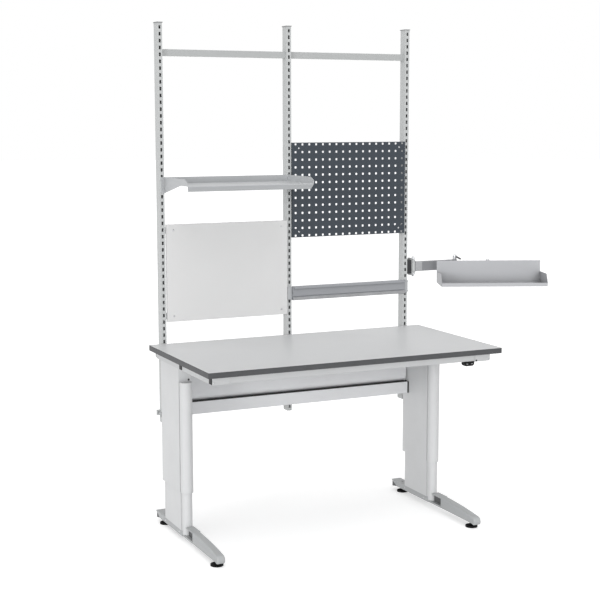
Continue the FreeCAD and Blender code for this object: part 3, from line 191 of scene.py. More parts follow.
def make_corner_shade_group():
    """Paints shade into a colour in the corners and grooves of a piece's own mesh, darker where ambient
    occlusion finds it closed in.
    """
    inputs = [("Color", COLOUR, GREY), ("Depth", NUMBER, 0.6), ("Reach", NUMBER, 0.06)]
    group, entry, leave = start_group("painted corner shade", inputs, [("Color", COLOUR)])
    # Painted shade: the colour is darkened towards this tint where the piece closes round itself.
    open_to_closed, shade_tint = (0.95, 0.35), 0.45
    room = add_node(
        group, "ShaderNodeAmbientOcclusion", {"Distance": entry["Reach"]}, samples=8, only_local=True
    )
    closed = remap(group, room.outputs["AO"], open_to_closed, UNIT)
    share = multiply(group, closed, entry["Depth"])
    dark = tint(group, entry["Color"], shade_tint)
    put_out(group, leave, {"Color": mix_colours(group, entry["Color"], dark, share)})
    return group


def make_powder_group():
    """Powder coat: fine orange-peel grain, faint mottling and paler edges, which are partly edge wear
    and partly a painted highlight.
    """
    inputs = [("Color", COLOUR, GREY), ("Grain", NUMBER, 1100)]
    inputs += [("Edge", NUMBER, 0), ("Gloss", NUMBER, 0.4)]
    group, entry, leave = start_group("powder coat", inputs, FINISH_OUTPUTS)
    mottle_span, fleck_span, gloss_span = (0.975, 1.02), (0.985, 1.015), (-0.06, 0.06)
    paler, edge_span = 1.12, (0.0, 0.35)
    place = object_place(group)
    cloud = noise(group, place, scale=7, detail=4, roughness=0.6)
    grain = noise(group, place, scale=entry["Grain"], detail=3, roughness=0.55)
    mottling = remap(group, cloud, NOISE_CORE, mottle_span)
    flecks = remap(group, grain, NOISE_CORE, fleck_span)
    body = tint(group, entry["Color"], multiply(group, mottling, flecks))
    # The paler edges are partly edge wear and partly a painted highlight.
    share = remap(group, entry["Edge"], UNIT, edge_span)
    spread = remap(group, grain, NOISE_CORE, gloss_span)
    put_out(group, leave, {
        "Color": mix_colours(group, body, tint(group, body, paler), share),
        "Roughness": calculate(group, "ADD", entry["Gloss"], spread),
        "Height": grain,
    })
    return group


def make_laminate_group():
    """Printed laminate: fine light and dark specks under a matt wear layer."""
    inputs = [("Color", COLOUR, GREY), ("Speck", NUMBER, 0.03)]
    group, entry, leave = start_group("laminate print", inputs, FINISH_OUTPUTS)
    speck_core, speck_span = (0.25, 0.75), (-1.0, 1.0)
    cloud_span, wear_span = (0.985, 1.015), (0.34, 0.46)
    place = object_place(group)
    fine = noise(group, place, scale=620, detail=3, roughness=0.7)
    wide = noise(group, place, scale=3.5, detail=5, roughness=0.6)
    swing = multiply(group, remap(group, fine, speck_core, speck_span), entry["Speck"])
    specks = calculate(group, "ADD", swing, 1.0)
    cloud = remap(group, wide, NOISE_CORE, cloud_span)
    put_out(group, leave, {
        "Color": tint(group, entry["Color"], multiply(group, specks, cloud)),
        "Roughness": remap(group, wide, NOISE_CORE, wear_span),
        "Height": fine,
    })
    return group


def make_plastic_group():
    """Moulded plastic: spark-eroded grain and scuffed edges."""
    inputs = [("Color", COLOUR, GREY), ("Grain", NUMBER, 900), ("Edge", NUMBER, 0)]
    group, entry, leave = start_group("moulded plastic", inputs, FINISH_OUTPUTS)
    tone_span, gloss_span = (0.9, 1.12), (0.44, 0.58)
    scuff, scuff_core, scuff_span = 1.9, (0.4, 0.6), (0.15, 0.6)
    place = object_place(group)
    cells = add_node(group, "ShaderNodeTexVoronoi", {"Vector": place, "Scale": entry["Grain"]})
    patches = noise(group, place, scale=22, detail=4, roughness=0.6)
    body = tint(group, entry["Color"], remap(group, patches, NOISE_CORE, tone_span))
    share = multiply(group, entry["Edge"], remap(group, patches, scuff_core, scuff_span))
    put_out(group, leave, {
        "Color": mix_colours(group, body, tint(group, body, scuff), share),
        "Roughness": remap(group, patches, NOISE_CORE, gloss_span),
        "Height": cells.outputs["Distance"],
    })
    return group


def make_metal_group():
    """Bare or plated metal with fine working lines along one direction."""
    inputs = [("Color", COLOUR, GREY), ("Edge", NUMBER, 0)]
    group, entry, leave = start_group("worked metal", inputs, FINISH_OUTPUTS)
    along_x, line_span, gloss_span = (1, 60, 60), (0.93, 1.06), (0.28, 0.42)
    polish, polish_span = 1.25, (0.2, 0.6)
    lines = noise(group, object_place(group, along_x), scale=60, detail=4, roughness=0.6)
    cloud = noise(group, object_place(group), scale=30, detail=3, roughness=0.5)
    body = tint(group, entry["Color"], remap(group, lines, NOISE_CORE, line_span))
    share = multiply(group, entry["Edge"], remap(group, cloud, NOISE_CORE, polish_span))
    put_out(group, leave, {
        "Color": mix_colours(group, body, tint(group, body, polish), share),
        "Roughness": remap(group, cloud, NOISE_CORE, gloss_span),
        "Height": lines,
    })
    return group


soft_edge = make_soft_edge_group()
settled_dust = make_dust_group()
painted_corner_shade = make_corner_shade_group()
powder_coat = make_powder_group()
laminate_print = make_laminate_group()
moulded_plastic = make_plastic_group()
worked_metal = make_metal_group()

# Finishes

BUMP_STRENGTH = 0.35


def make_finish(
    name, group, values, edge=1.2, relief=0.06, dust=0.0, metallic=0.0, specular=0.5, corners=0.0
):
    """A material made from one finish group; its edge radius and its relief are in millimetres."""
    material = bpy.data.materials.new(name)
    material.use_nodes = True
    tree = material.node_tree
    shader = tree.nodes["Principled BSDF"]
    shader.inputs["Metallic"].default_value = metallic
    shader.inputs["Specular IOR Level"].default_value = specular
    rounded = place_group(tree, soft_edge, {"Radius": edge * MM})
    finish = place_group(tree, group, values)
    if "Edge" in finish.inputs:
        tree.links.new(rounded.outputs["Edge"], finish.inputs["Edge"])
    colour = finish.outputs["Color"]
    # Painted shade in the corners and grooves, as strong as corners asks.
    if corners:
        colour = place_group(tree, painted_corner_shade, {"Color": colour, "Depth": corners}).outputs["Color"]
    if dust:
        colour = place_group(tree, settled_dust, {"Color": colour, "Amount": dust}).outputs["Color"]
    bump = add_node(tree, "ShaderNodeBump", {
        "Strength": BUMP_STRENGTH, "Distance": relief * MM,
        "Height": finish.outputs["Height"], "Normal": rounded.outputs["Normal"],
    })
    tree.links.new(colour, shader.inputs["Base Color"])
    tree.links.new(finish.outputs["Roughness"], shader.inputs["Roughness"])
    tree.links.new(bump.outputs["Normal"], shader.inputs["Normal"])
    return material


def coat(name, colour, gloss=0.42, dust=0.0, corners=0.5):
    """A powder coat, with painted shade in its corners and grooves."""
    return make_finish(name, powder_coat, {"Color": colour, "Gloss": gloss}, dust=dust, corners=corners)


def laminate(name, colour, speck, relief):
    """A printed laminate."""
    return make_finish(name, laminate_print, {"Color": colour, "Speck": speck}, relief=relief)


def plastic(name, colour, grain=900, dust=0.0, specular=0.4):
    """A moulded plastic, with sharper edges than sheet metal."""
    values = {"Color": colour, "Grain": grain}
    return make_finish(name, moulded_plastic, values, edge=0.8, dust=dust, specular=specular)


def metal(name, colour, metallic, dust=0.0, corners=0.0):
    """A worked metal, with painted shade in its corners and grooves where corners is set."""
    values = {"Color": colour}
    return make_finish(name, worked_metal, values, metallic=metallic, dust=dust, corners=corners)


frame_coat = coat("frame powder coat", shade(185, 187, 187))
upright_coat = coat("upright powder coat", shade(185, 187, 187), corners=0.0)
beam_coat = coat("top beam powder coat", shade(171, 173, 173))
rail_coat = coat("rail powder coat", shade(194, 195, 196))
leg_coat = coat("leg powder coat", shade(204, 205, 206), dust=0.06)
# Painted light: the trough and the cross beam are coated lighter than the frame, so that the shade under
# the tabletop is offset.
trough_coat = coat("trough powder coat", shade(214, 215, 217), dust=0.05)
shelf_coat = coat("shelf powder coat", shade(178, 180, 182), dust=0.05)
# Painted shade: strong corner shade darkens the inside corners of the tray.
tray_coat = coat("tray powder coat", shade(172, 173, 176), dust=0.04, corners=0.8)
foot_coat = coat("foot powder coat", shade(169, 171, 172), gloss=0.5, dust=0.1)
arm_coat = coat("arm powder coat", shade(134, 135, 138))
sleeve_coat = coat("arm sleeve powder coat", shade(168, 169, 171))
panel_coat = coat("perforated panel powder coat", shade(43, 51, 60), gloss=0.45)
top_laminate = laminate("tabletop laminate", shade(203, 204, 205), speck=0.035, relief=0.02)
board_laminate = laminate("white board laminate", shade(211, 211, 211), speck=0.012, relief=0.01)
band_plastic = plastic("edge band plastic", shade(70, 71, 73), grain=1500)
black_plastic = plastic("black plastic", shade(26, 26, 28), specular=0.25)
# Painted shade: the plug's neck between the leg's nose and the front foot is a mid-dark grey that stands
# in for the shadow in that gap; the rear plug is its plastic end cap.
plug_and_notch_shade = plastic("foot plug plastic", shade(94, 95, 96), specular=0.2)
pad_plastic = plastic("levelling pad plastic", shade(10, 10, 11), dust=0.02, specular=0.12)
switch_plastic = plastic("switch housing plastic", shade(10, 10, 11), grain=1500, specular=0.18)
button_plastic = plastic("button plastic", shade(46, 47, 49), grain=1400, specular=0.25)
arrow_plastic = plastic("button arrow plastic", shade(196, 197, 198), grain=1500)
label_plastic = plastic("bin rail label strip", shade(152, 153, 155), grain=1500)
clamp_plastic = plastic("clamp block plastic", shade(42, 43, 45))
lever_plastic = plastic("lever plastic", shade(70, 71, 73))
cap_plastic = plastic("upright cap plastic", shade(138, 139, 140))
# Painted shadow: a near-black strip for the shadow gap between the trough and the cross beam.
shadow_strip_finish = plastic("beam painted shadow strip", shade(20, 20, 21), dust=0.1)
rail_anodised = metal("bin rail anodised", shade(145, 147, 151), metallic=0.15, dust=0.04)
# Painted shade: strong corner shade darkens the face in a line under the pressed edge.
rail_face = metal("bin rail face", shade(147, 149, 153), metallic=0.15, dust=0.04, corners=0.7)
zinc_plate = metal("zinc plated steel", shade(190, 191, 193), metallic=1.0)
dark_steel = metal("blackened steel", shade(30, 30, 32), metallic=0.3)
nut_bronze = metal("bronze", shade(190, 148, 92), metallic=1.0)

FINISHES = {
    frame_coat: ["upright_brackets", "panel_brackets", "arm_bracket"],
    upright_coat: ["left_upright", "middle_upright", "right_upright"],
    beam_coat: ["top_beams"],
    rail_coat: ["front_rail", "middle_rail", "left_support", "right_support"],
    leg_coat: ["left_outer_sleeve", "right_outer_sleeve", "left_inner_column", "right_inner_column"],
    trough_coat: ["cable_trough", "cross_beam"],
    shelf_coat: ["shelf", "shelf_brackets", "bin_rail_brackets"],
    tray_coat: ["tray", "tray_bracket"],
    foot_coat: ["left_rear_foot", "right_rear_foot", "left_front_foot", "right_front_foot"],
    arm_coat: ["arm_link", "forearm"],
    panel_coat: ["perforated_panel"],
    rail_anodised: ["bin_rail"],
    top_laminate: ["tabletop"],
    board_laminate: ["white_panel"],
    band_plastic: ["tabletop_edge_band"],
    black_plastic: [
        "rail_end_caps", "leg_glides", "left_drive_unit", "right_drive_unit", "control_box",
    ],
    plug_and_notch_shade: ["left_foot_plug", "right_foot_plug"],
    switch_plastic: ["switch_housing"],
    cap_plastic: ["upright_caps"],
    lever_plastic: ["clamp_lever"],
    pad_plastic: [
        "left_front_pad", "left_rear_pad", "right_front_pad", "right_rear_pad", "beam_spacers",
    ],
    clamp_plastic: ["arm_clamp_block"],
    button_plastic: ["up_button", "down_button"],
    zinc_plate: [
        "left_spindle", "right_spindle", "shoulder_pin", "tray_pin", "upright_bolts", "panel_screws",
    ],
    nut_bronze: ["left_spindle_nut", "right_spindle_nut"],
}


def dress_frame():
    """Give every CAD node its finish."""
    for finish, names in FINISHES.items():
        for name in names:
            mesh = nodes[name].data
            mesh.materials.clear()
            mesh.materials.append(finish)


# Mesh building, in millimetres

SHARP_FROM = math.radians(35)
QUARTER = 90


def box_mm(node):
    """A node's lowest and highest corner in millimetres."""
    low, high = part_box(node)
    return low / MM, high / MM


def middle_mm(node):
    """The middle of a node's box in millimetres."""
    low, high = box_mm(node)
    return (low + high) / 2


def add_object(name, data):
    """A new object in the scene."""
    thing = bpy.data.objects.new(name, data)
    bpy.context.scene.collection.objects.link(thing)
    return thing


def add_mesh(name, mesh, material):
    """A new object from a built mesh and its finish."""
    data = bpy.data.meshes.new(name)
    mesh.to_mesh(data)
    mesh.free()
    data.materials.append(material)
    return add_object(name, data)


def finish_piece(name, mesh, material, body, stands_for=()):
    """Turn a built mesh into a piece that rides on a body."""
    bmesh.ops.recalc_face_normals(mesh, faces=mesh.faces)
    piece = add_mesh(name, mesh, material)
    piece.data.shade_smooth()
    piece.data.set_sharp_from_angle(angle=SHARP_FROM)
    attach(piece, body)
    if stands_for:
        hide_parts(*stands_for)


def toward(direction, place):
    """A matrix that sends local +Z along a direction, at a place in millimetres."""
    turn = Vector(UP).rotation_difference(Vector(direction)).to_matrix().to_4x4()
    return Matrix.Translation(Vector(place) * MM) @ turn


def quarter_turn(across, up, radius, start, steps=6):
    """Points of a quarter circle round a centre, from a starting angle in degrees."""
    points = []
    for step in range(steps + 1):
        angle = math.radians(start + QUARTER * step / steps)
        points.append((across + radius * math.cos(angle), up + radius * math.sin(angle)))
    return points


def soft_rectangle(left, base, right, top, lower, upper, steps=6):
    """Outline of a rectangle with its own radius for the lower and the upper corners."""
    outline = quarter_turn(left + lower, base + lower, lower, 2 * QUARTER, steps)
    outline += quarter_turn(right - lower, base + lower, lower, 3 * QUARTER, steps)
    outline += quarter_turn(right - upper, top - upper, upper, 0, steps)
    outline += quarter_turn(left + upper, top - upper, upper, QUARTER, steps)
    return outline


def join_loops(mesh, first, second):
    """Skin the gap between two loops of points."""
    for step in range(len(first)):
        following = (step + 1) % len(first)
        mesh.faces.new((first[step], first[following], second[following], second[step]))


def skin_loops(mesh, loops):
    """Skin a row of loops and close both ends."""
    for first, second in zip(loops, loops[1:]):
        join_loops(mesh, first, second)
    mesh.faces.new(list(reversed(loops[0])))
    mesh.faces.new(loops[-1])


def loop_at(mesh, outline, y):
    """A loop of points at one depth, from an outline in X and Z."""
    return [mesh.verts.new(Vector((x, y, z)) * MM) for x, z in outline]


def run_strip(mesh, outline, start, end, cut=0, cut_below=0):
    """Draw an outline in Y and Z out along X; points below a height may be cut short at both ends."""
    loops = []
    for x, inward in ((start, 1), (end, -1)):
        cut_x = x + inward * cut
        spots = [(cut_x if z < cut_below else x, y, z) for y, z in outline]
        loops.append([mesh.verts.new(Vector(spot) * MM) for spot in spots])
    skin_loops(mesh, loops)


def ring_stack(mesh, rings, matrix, steps=24):
    """Skin a stack of rings; each ring is a height and a radius, or a radius for every angle."""
    loops = []
    for height, radius in rings:
        loop = []
        for step in range(steps):
            angle = 2 * math.pi * step / steps
            reach = radius(angle) if callable(radius) else radius
            spot = Vector((reach * math.cos(angle), reach * math.sin(angle), height)) * MM
            loop.append(mesh.verts.new(matrix @ spot))
        loops.append(loop)
    skin_loops(mesh, loops)


# Screws, nuts and pins

# The dome of a nut: shares of its height and of its reach.
DOME = ((0.4, 1), (0.62, 1), (0.82, 0.8), (1, 0.35))
# The pins of the arm, with their nuts and washers.
PIN_RADIUS, PIN_NUT = 5.9, 17
WASHER_RADIUS, WASHER_THICKNESS, WASHER_EASE = 10, 1.6, 0.2


def hexagon(across_flats):
    """The reach of a hexagon at an angle, for a ring."""
    sector = math.pi / 3

    def reach(angle):
        return across_flats / 2 / math.cos(angle % sector - sector / 2)
    return reach


def socket_screw(mesh, place, direction, head, height, socket):
    """A domed screw head with a hexagon socket."""
    rim, dome, socket_floor = 0.35 * height, 0.75 * height, 0.98 * socket
    dome_reach, face_reach = 0.88 * head, 0.62 * head
    rings = [
        (0, head), (rim, head), (dome, dome_reach), (height, face_reach),
        (height, hexagon(socket)), (rim, hexagon(socket_floor)),
    ]
    ring_stack(mesh, rings, toward(direction, place))


def hex_nut(mesh, place, direction, across_flats, height):
    """A chamfered hexagon nut or bolt head."""
    flats = hexagon(across_flats)
    chamfer, corner = 0.14 * height, 0.52 * across_flats

    def eased(angle):
        return min(flats(angle), corner)
    rings = [(0, eased), (chamfer, flats), (height - chamfer, flats), (height, eased)]
    ring_stack(mesh, rings, toward(direction, place), steps=48)


def dome_nut(mesh, place, direction, across_flats, height):
    """A hexagon nut closed by a dome."""
    base, reach = 0.42 * height, 0.48 * across_flats
    hex_nut(mesh, place, direction, across_flats, base)
    rings = [(up * height, out * reach) for up, out in DOME]
    ring_stack(mesh, rings, toward(direction, place))


def round_bar(mesh, place, direction, radius, length, ease=0.4):
    """A round bar or washer with eased ends."""
    rings = [(0, radius - ease), (ease, radius), (length - ease, radius), (length, radius - ease)]
    ring_stack(mesh, rings, toward(direction, place))


def pin_washer(mesh, place, direction):
    """The washer under a nut of the arm."""
    round_bar(mesh, place, direction, WASHER_RADIUS, WASHER_THICKNESS, WASHER_EASE)


def make_panel_screws():
    """Domed socket screws at the corners of both panels."""
    sink, from_edge, shank = 0.5, 28, 2.4
    mesh = bmesh.new()
    low, high = box_mm("panel_screws")
    for name, inset in (("white_panel", 33), ("perforated_panel", 36)):
        first, last = box_mm(name)
        for x in (first.x + inset, last.x - inset):
            for z in (first.z + from_edge, last.z - from_edge):
                round_bar(mesh, (x, high.y - sink, z), FRONT, shank, length=high.y - first.y - sink)
                socket_screw(mesh, (x, first.y, z), FRONT, head=5, height=first.y - low.y, socket=3)
    finish_piece("panel_screw_heads", mesh, zinc_plate, "upper_frame", ["panel_screws"])


def make_upright_bolts():
    """Bolts through the clamp bars, with a washer and a hexagon nut behind."""
    below_top, above_end, aside = 32, 46, 18
    nut_room, washer = 6, 1.2
    bolt_gap, end_gap, nut_gap = 0.3, 0.5, 0.7
    mesh = bmesh.new()
    low, high = box_mm("upright_bolts")
    upper = box_mm("tabletop")[0].z - below_top
    lower = box_mm("left_upright")[0].z + above_end
    seat = high.y - nut_room
    length = high.y - low.y - bolt_gap - end_gap
    heights = {"left": (upper, lower), "right": (upper, lower), "middle": (middle_mm("cross_beam").z,)}
    for side, levels in heights.items():
        centre = middle_mm(f"{side}_upright").x
        for z in levels:
            for x in (centre - aside, centre + aside):
                round_bar(mesh, (x, low.y + bolt_gap, z), BACK, radius=3.9, length=length)
                round_bar(mesh, (x, seat, z), BACK, radius=7, length=washer, ease=WASHER_EASE)
                nut_place = (x, seat + washer, z)
                hex_nut(mesh, nut_place, BACK, across_flats=11.5, height=nut_room - washer - nut_gap)
    finish_piece("upright_clamp_bolts", mesh, zinc_plate, "upper_frame", ["upright_bolts"])


def make_pad_nuts():
    """Lock nuts on the studs of the levelling pads, tight against the feet."""
    across_flats, height = 19, 6.5
    for side in SIDES:
        mesh = bmesh.new()
        underside = box_mm(f"{side}_rear_foot")[0].z
        for spot in ("front", "rear"):
            stud = middle_mm(f"{side}_{spot}_pad")
            hex_nut(mesh, (stud.x, stud.y, underside - height), UP, across_flats, height)
        finish_piece(f"{side}_pad_nuts", mesh, zinc_plate, f"{side}_base")


def make_shoulder_pin():
    """Shoulder pin with a washer and a dome nut at each end."""
    head, sink = 22, 4
    mesh = bmesh.new()
    low, high = box_mm("shoulder_pin")
    axis = middle_mm("shoulder_pin")
    round_bar(mesh, (axis.x, axis.y, low.z + sink), UP, PIN_RADIUS, length=high.z - low.z - 2 * sink)
    for seat, direction in ((high.z - head, UP), (low.z + head, DOWN)):
        place = Vector((axis.x, axis.y, seat))
        pin_washer(mesh, place, direction)
        nut_place = place + WASHER_THICKNESS * Vector(direction)
        dome_nut(mesh, nut_place, direction, PIN_NUT, height=head - WASHER_THICKNESS)
    finish_piece("shoulder_bolt", mesh, zinc_plate, "upper_frame", ["shoulder_pin"])


def make_tray_pin():
    """Pivot bolt of the tray, with a washer and a nut on top."""
    nut_gap = 0.2
    mesh = bmesh.new()
    low, high = box_mm("tray_pin")
    axis = middle_mm("tray_pin")
    seat = box_mm("arm_link")[1].z
    nut_seat = seat + WASHER_THICKNESS
    round_bar(mesh, (axis.x, axis.y, low.z), UP, PIN_RADIUS, length=seat - low.z)
    pin_washer(mesh, (axis.x, axis.y, seat), UP)
    hex_nut(mesh, (axis.x, axis.y, nut_seat), UP, PIN_NUT, height=high.z - nut_seat - nut_gap)
    finish_piece("tray_pivot_bolt", mesh, zinc_plate, "tray", ["tray_pin"])


def make_frame_screws():
    """Screws in the supports, the trough's flange and the right bin rail bracket."""
    support_inset, support_rise = 8, 9
    trough_count, trough_inset, trough_sink = 5, 12, 1.5
    bracket_inset, bracket_end = 3.5, 7
    mesh = bmesh.new()
    low, high = box_mm("left_support")[0], box_mm("right_support")[1]
    for x in (low.x + support_inset, high.x - support_inset):
        spot = (x, low.y, low.z + support_rise)
        socket_screw(mesh, spot, FRONT, head=4, height=2.2, socket=2.5)
    low, high = box_mm("cable_trough")
    pitch = (high.x - low.x) / trough_count
    for step in range(trough_count):
        spot = (low.x + pitch * (step + 0.5), low.y + trough_inset, high.z - trough_sink)
        socket_screw(mesh, spot, DOWN, head=5, height=3, socket=3)
    low, high = box_mm("bin_rail_brackets")
    for z in (low.z + bracket_end, high.z - bracket_end):
        socket_screw(mesh, (high.x, low.y + bracket_inset, z), RIGHT, head=3.2, height=5, socket=2.5)
    finish_piece("frame_screws", mesh, zinc_plate, "upper_frame")


def make_leg_screws():
    """Dark screws that hold the heads of the legs to the supports."""
    inset, from_top = 39, 60
    mesh = bmesh.new()
    for side, inward in (("left", 18), ("right", -18)):
        low, high = box_mm(f"{side}_outer_sleeve")
        spot = (middle_mm(f"{side}_outer_sleeve").x + inward, low.y + inset, high.z - from_top)
        socket_screw(mesh, spot, FRONT, head=5, height=3, socket=4)
    finish_piece("leg_screws", mesh, dark_steel, "upper_frame")


def make_switch_screw():
    """Dark screw on the right support, beside the switch."""
    inset, rise = 7, 5
    low = box_mm("right_support")[0]
    mesh = bmesh.new()
    socket_screw(mesh, (low.x + inset, low.y, low.z + rise), FRONT, head=4.5, height=2.5, socket=3)
    finish_piece("switch_screw", mesh, dark_steel, "upper_frame")


def make_foot_screws():
    """Screws that hold each foot channel to its column, two on each side."""
    spots, rise = (38, 240), 14
    for side in SIDES:
        mesh = bmesh.new()
        low, high = box_mm(f"{side}_rear_foot")
        for spot in spots:
            for x, direction in ((low.x, LEFT), (high.x, RIGHT)):
                place = (x, low.y + spot, low.z + rise)
                socket_screw(mesh, place, direction, head=5, height=3, socket=4)
        finish_piece(f"{side}_foot_screws", mesh, zinc_plate, f"{side}_base")


def make_inlet_pins():
    """Contact pins in the mains inlet of the control box."""
    inlet, recess = 42, 16
    mesh = bmesh.new()
    low, high = box_mm("control_box")
    middle = middle_mm("control_box").z
    for across, up in ((-7, -3), (7, -3), (0, 3)):
        spot = (low.x + inlet + across, high.y - recess, middle + up)
        round_bar(mesh, spot, BACK, radius=1.6, length=11, ease=0.3)
    finish_piece("inlet_pins", mesh, zinc_plate, "upper_frame")


# Trim and folded sheets

# The bin rail's face with its pressed edge: how far out of the rail and how far below its top.
RAIL_FACE = ((0, 50), (0.8, 50), (0.8, 14), (8, 13), (8, 10), (2, 0), (0, 0))
# The label strip: how far out of the rail's lip and how far above its foot.
LABEL_STRIP = ((0, 1), (0.9, 2), (0.9, 14), (0, 15))
# The lever's sleeve: heights above the arm, then above the lever's top, each with its radius.
SLEEVE_FOOT = ((0.6, 10), (1.2, 10.8))
SLEEVE_HEAD = ((-1, 10.8), (0.6, 9.4), (1, 7), (2, 5), (2.3, 2))
# The arrow on a button: how far across and above its middle.
ARROW = ((-3, -1.6), (0, -0.2), (3, -1.6), (3, 0.2), (0, 1.8), (-3, 0.2))


def make_shoulder_trim():
    """Light barrel round the arm's shoulder eye, and the sleeve on the start of its tube."""
    skin, gap, ease = 0.7, 1, 0.6
    corner, sleeve_start, sleeve_end = 4, 10, 48
    x = middle_mm("shoulder_pin").x
    y = middle_mm("arm_link").y
    low, high = box_mm("arm_link")
    reach = (high.y - low.y) / 2 + skin
    base, top = low.z + gap, high.z - gap
    mesh = bmesh.new()
    rings = [(base, reach - ease), (base + ease, reach), (top - ease, reach), (top, reach - ease)]
    ring_stack(mesh, rings, toward(UP, (x, y, 0)), steps=40)
    finish_piece("shoulder_barrel", mesh, frame_coat, "arm")
    mesh = bmesh.new()
    outline = soft_rectangle(
        low.y - skin, low.z - skin, high.y + skin, high.z + skin, corner, corner, steps=4
    )
    run_strip(mesh, outline, x + sleeve_start, x + sleeve_end)
    finish_piece("arm_sleeve", mesh, sleeve_coat, "arm")


def make_beam_shadow_strip():
    """Round dark strip along the top of the cross beam, under the trough: painted shadow for the gap
    between them.
    """
    half, wall, crown = 5, 4, 4.5
    inset, end_gap, steps = 2, 4, 8
    mesh = bmesh.new()
    low, high = box_mm("cross_beam")
    middle, base = low.y + inset + half, high.z
    outline = [(middle - half, base), (middle + half, base)]
    for step in range(steps + 1):
        angle = math.pi * step / steps
        outline.append((middle + half * math.cos(angle), base + wall + crown * math.sin(angle)))
    run_strip(mesh, outline, low.x + end_gap, high.x - end_gap)
    finish_piece("beam_shadow_strip", mesh, shadow_strip_finish, "upper_frame")


def make_shelf_sheet():
    """Folded shelf with a rolled front edge, a lip that leans in, its hem and an upstand at the back."""
    sheet, hem, upstand = 2, 12, 30
    roll, lean, trim = 4, 16, 7
    low, high = box_mm("shelf")
    top = high.z - upstand
    centre = (low.y + roll, top - roll)
    foot = low.y + lean
    hem_top, wall = low.z + sheet, high.y - sheet
    outline = [(foot + hem, low.z), (foot + hem, hem_top), (foot + sheet, hem_top)]
    outline += reversed(quarter_turn(*centre, roll - sheet, QUARTER))
    outline += [(high.y, top - sheet), (high.y, high.z), (wall, high.z), (wall, top)]
    outline += quarter_turn(*centre, roll, QUARTER)
    outline.append((foot, low.z))
    mesh = bmesh.new()
    run_strip(mesh, outline, low.x, high.x, cut=trim, cut_below=hem_top + sheet)
    finish_piece("shelf_sheet", mesh, shelf_coat, "upper_frame", ["shelf"])


def front_outline(low, high, inset, lower, upper):
    """Outline in X and Z of a box seen from the front, with round corners."""
    return soft_rectangle(low.x + inset, low.z + inset, high.x - inset, high.z - inset, lower, upper)


def make_switch_case():
    """Housing of the switch: large lower corners, an eased front edge and a well for each button."""
    ease, lower, upper = 1, 12.5, 2.5
    fit, well_corner, well_room = 0.3, 3.3, 2.3
    low, high = box_mm("switch_housing")
    mesh = bmesh.new()
    full = front_outline(low, high, 0, lower, upper)
    front = loop_at(mesh, front_outline(low, high, ease, lower - ease, upper - ease), low.y)
    shoulder = loop_at(mesh, full, low.y + ease)
    back = loop_at(mesh, full, high.y)
    join_loops(mesh, front, shoulder)
    join_loops(mesh, shoulder, back)
    mesh.faces.new(back)
    rims = [front]
    for name in ("down_button", "up_button"):
        first, last = box_mm(name)
        well = front_outline(first, last, -fit, well_corner, well_corner)
        rim = loop_at(mesh, well, low.y)
        floor = loop_at(mesh, well, last.y + well_room)
        join_loops(mesh, rim, floor)
        mesh.faces.new(floor)
        rims.append(rim)
    edges = [mesh.edges.get((rim[step - 1], rim[step])) for rim in rims for step in range(len(rim))]
    bmesh.ops.triangle_fill(mesh, use_beauty=True, edges=edges)
    finish_piece("switch_case", mesh, switch_plastic, "upper_frame", ["switch_housing"])


def make_rail_strips():
    """Face of the bin rail with its pressed upper edge and painted shade in a line under it, and the
    label strip on its lower lip.
    """
    face_inset, face_end, label_end = 3, 7, 3
    low, high = box_mm("bin_rail")
    mesh = bmesh.new()
    outline = [(low.y + face_inset - out, high.z - down) for out, down in RAIL_FACE]
    run_strip(mesh, outline, low.x + face_end, high.x - face_end)
    finish_piece("bin_rail_edge", mesh, rail_face, "upper_frame")
    mesh = bmesh.new()
    outline = [(low.y - out, low.z + up) for out, up in LABEL_STRIP]
    run_strip(mesh, outline, low.x + label_end, high.x - label_end)
    finish_piece("bin_rail_label_strip", mesh, label_plastic, "upper_frame")


def make_lever_sleeve():
    """Plated sleeve over the hub of the clamping lever, and the nut under the elbow."""
    elbow_inset, nut_height = 12.5, 8
    low, high = box_mm("arm_link")
    x, y = high.x - elbow_inset, middle_mm("arm_link").y
    height = box_mm("clamp_lever")[1].z - high.z
    rings = list(SLEEVE_FOOT)
    rings += [(height + up, radius) for up, radius in SLEEVE_HEAD]
    mesh = bmesh.new()
    ring_stack(mesh, rings, toward(UP, (x, y, high.z)))
    finish_piece("lever_sleeve", mesh, zinc_plate, "clamp_lever")
    mesh = bmesh.new()
    hex_nut(mesh, (x, y, low.z), DOWN, PIN_NUT, nut_height)
    finish_piece("elbow_nut", mesh, zinc_plate, "arm")


def make_button_marks():
    """A raised arrow on each push button."""
    raised, thickness = 0.4, 0.6
    for name, turn in (("up_button", 1), ("down_button", -1)):
        mesh = bmesh.new()
        middle = middle_mm(name)
        face = box_mm(name)[0].y - raised
        outline = [(middle.x + across, middle.z + up * turn) for across, up in ARROW]
        skin_loops(mesh, [loop_at(mesh, outline, y) for y in (face, face + thickness)])
        finish_piece(f"{name}_arrow", mesh, arrow_plastic, name)


# Stage


def seen_directly(tree):
    """One where the camera, a reflection or a clear surface looks, zero for the light that bounces."""
    rays = add_node(tree, "ShaderNodeLightPath").outputs
    seen = calculate(tree, "MAXIMUM", rays["Is Camera Ray"], rays["Is Glossy Ray"])
    return calculate(tree, "MAXIMUM", seen, rays["Is Transmission Ray"])


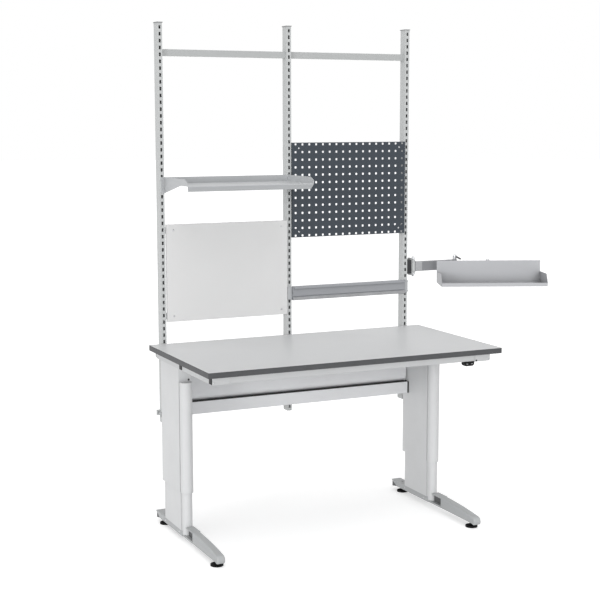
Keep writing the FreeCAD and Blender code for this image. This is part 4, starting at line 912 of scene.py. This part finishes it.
def make_floor(radius, glow):
    """A plain pale floor that keeps the bench's shadow; its radius is in metres."""
    paint = bpy.data.materials.new("floor paint")
    paint.use_nodes = True
    tree = paint.node_tree
    shader = tree.nodes["Principled BSDF"]
    shader.inputs["Base Color"].default_value = PALE_GREY
    shader.inputs["Roughness"].default_value = 0.9
    shader.inputs["Specular IOR Level"].default_value = 0.1
    shader.inputs["Emission Color"].default_value = WHITE
    strength = remap(tree, seen_directly(tree), UNIT, (0.0, glow))
    tree.links.new(strength, shader.inputs["Emission Strength"])
    mesh = bmesh.new()
    bmesh.ops.create_circle(mesh, cap_ends=True, segments=96, radius=radius)
    add_mesh("floor", mesh, paint)


def make_world(ambient):
    """Even room light, with a white backdrop where the camera or a reflection sees it."""
    world = bpy.data.worlds.new("studio")
    bpy.context.scene.world = world
    world.use_nodes = True
    tree = world.node_tree
    background = tree.nodes["Background"]
    background.inputs["Color"].default_value = WHITE
    strength = remap(tree, seen_directly(tree), UNIT, (ambient, 1.0))
    tree.links.new(strength, background.inputs["Strength"])


def make_soft_light(name, azimuth, elevation, softness, strength):
    """A broad, even studio light; azimuth runs from the front towards the left."""
    distance = 8
    data = bpy.data.lights.new(name, "SUN")
    data.angle = math.radians(softness)
    data.energy = strength
    lamp = add_object(name, data)
    turn, rise = math.radians(azimuth), math.radians(elevation)
    level = math.cos(rise)
    away = Vector((-math.sin(turn) * level, -math.cos(turn) * level, math.sin(rise)))
    lamp.location = away * distance
    lamp.rotation_euler = (-away).to_track_quat("-Z", "Y").to_euler()


def make_camera():
    """The camera at the photograph's viewing angle."""
    data = bpy.data.cameras.new("camera")
    data.sensor_width = 36
    data.lens = 79.23
    camera = add_object("camera", data)
    camera.location = (-2.7536, -5.6222, 1.9852)
    camera.rotation_euler = [math.radians(angle) for angle in (82.2265, 0.07, -25.036)]
    bpy.context.scene.camera = camera


dress_frame()
make_panel_screws()
make_upright_bolts()
make_pad_nuts()
make_shoulder_pin()
make_shoulder_trim()
make_tray_pin()
make_frame_screws()
make_leg_screws()
make_beam_shadow_strip()
make_shelf_sheet()
make_switch_case()
make_switch_screw()
make_rail_strips()
make_foot_screws()
make_lever_sleeve()
make_button_marks()
make_inlet_pins()
make_floor(radius=60, glow=0.45)
make_world(ambient=0.6)
make_soft_light("side light", azimuth=60, elevation=7, softness=20, strength=0.9)
make_soft_light("front light", azimuth=15, elevation=10, softness=20, strength=0.79)
make_soft_light("top light", azimuth=20, elevation=70, softness=60, strength=0.95)
make_camera()
bpy.context.scene.view_settings.view_transform = "Standard"
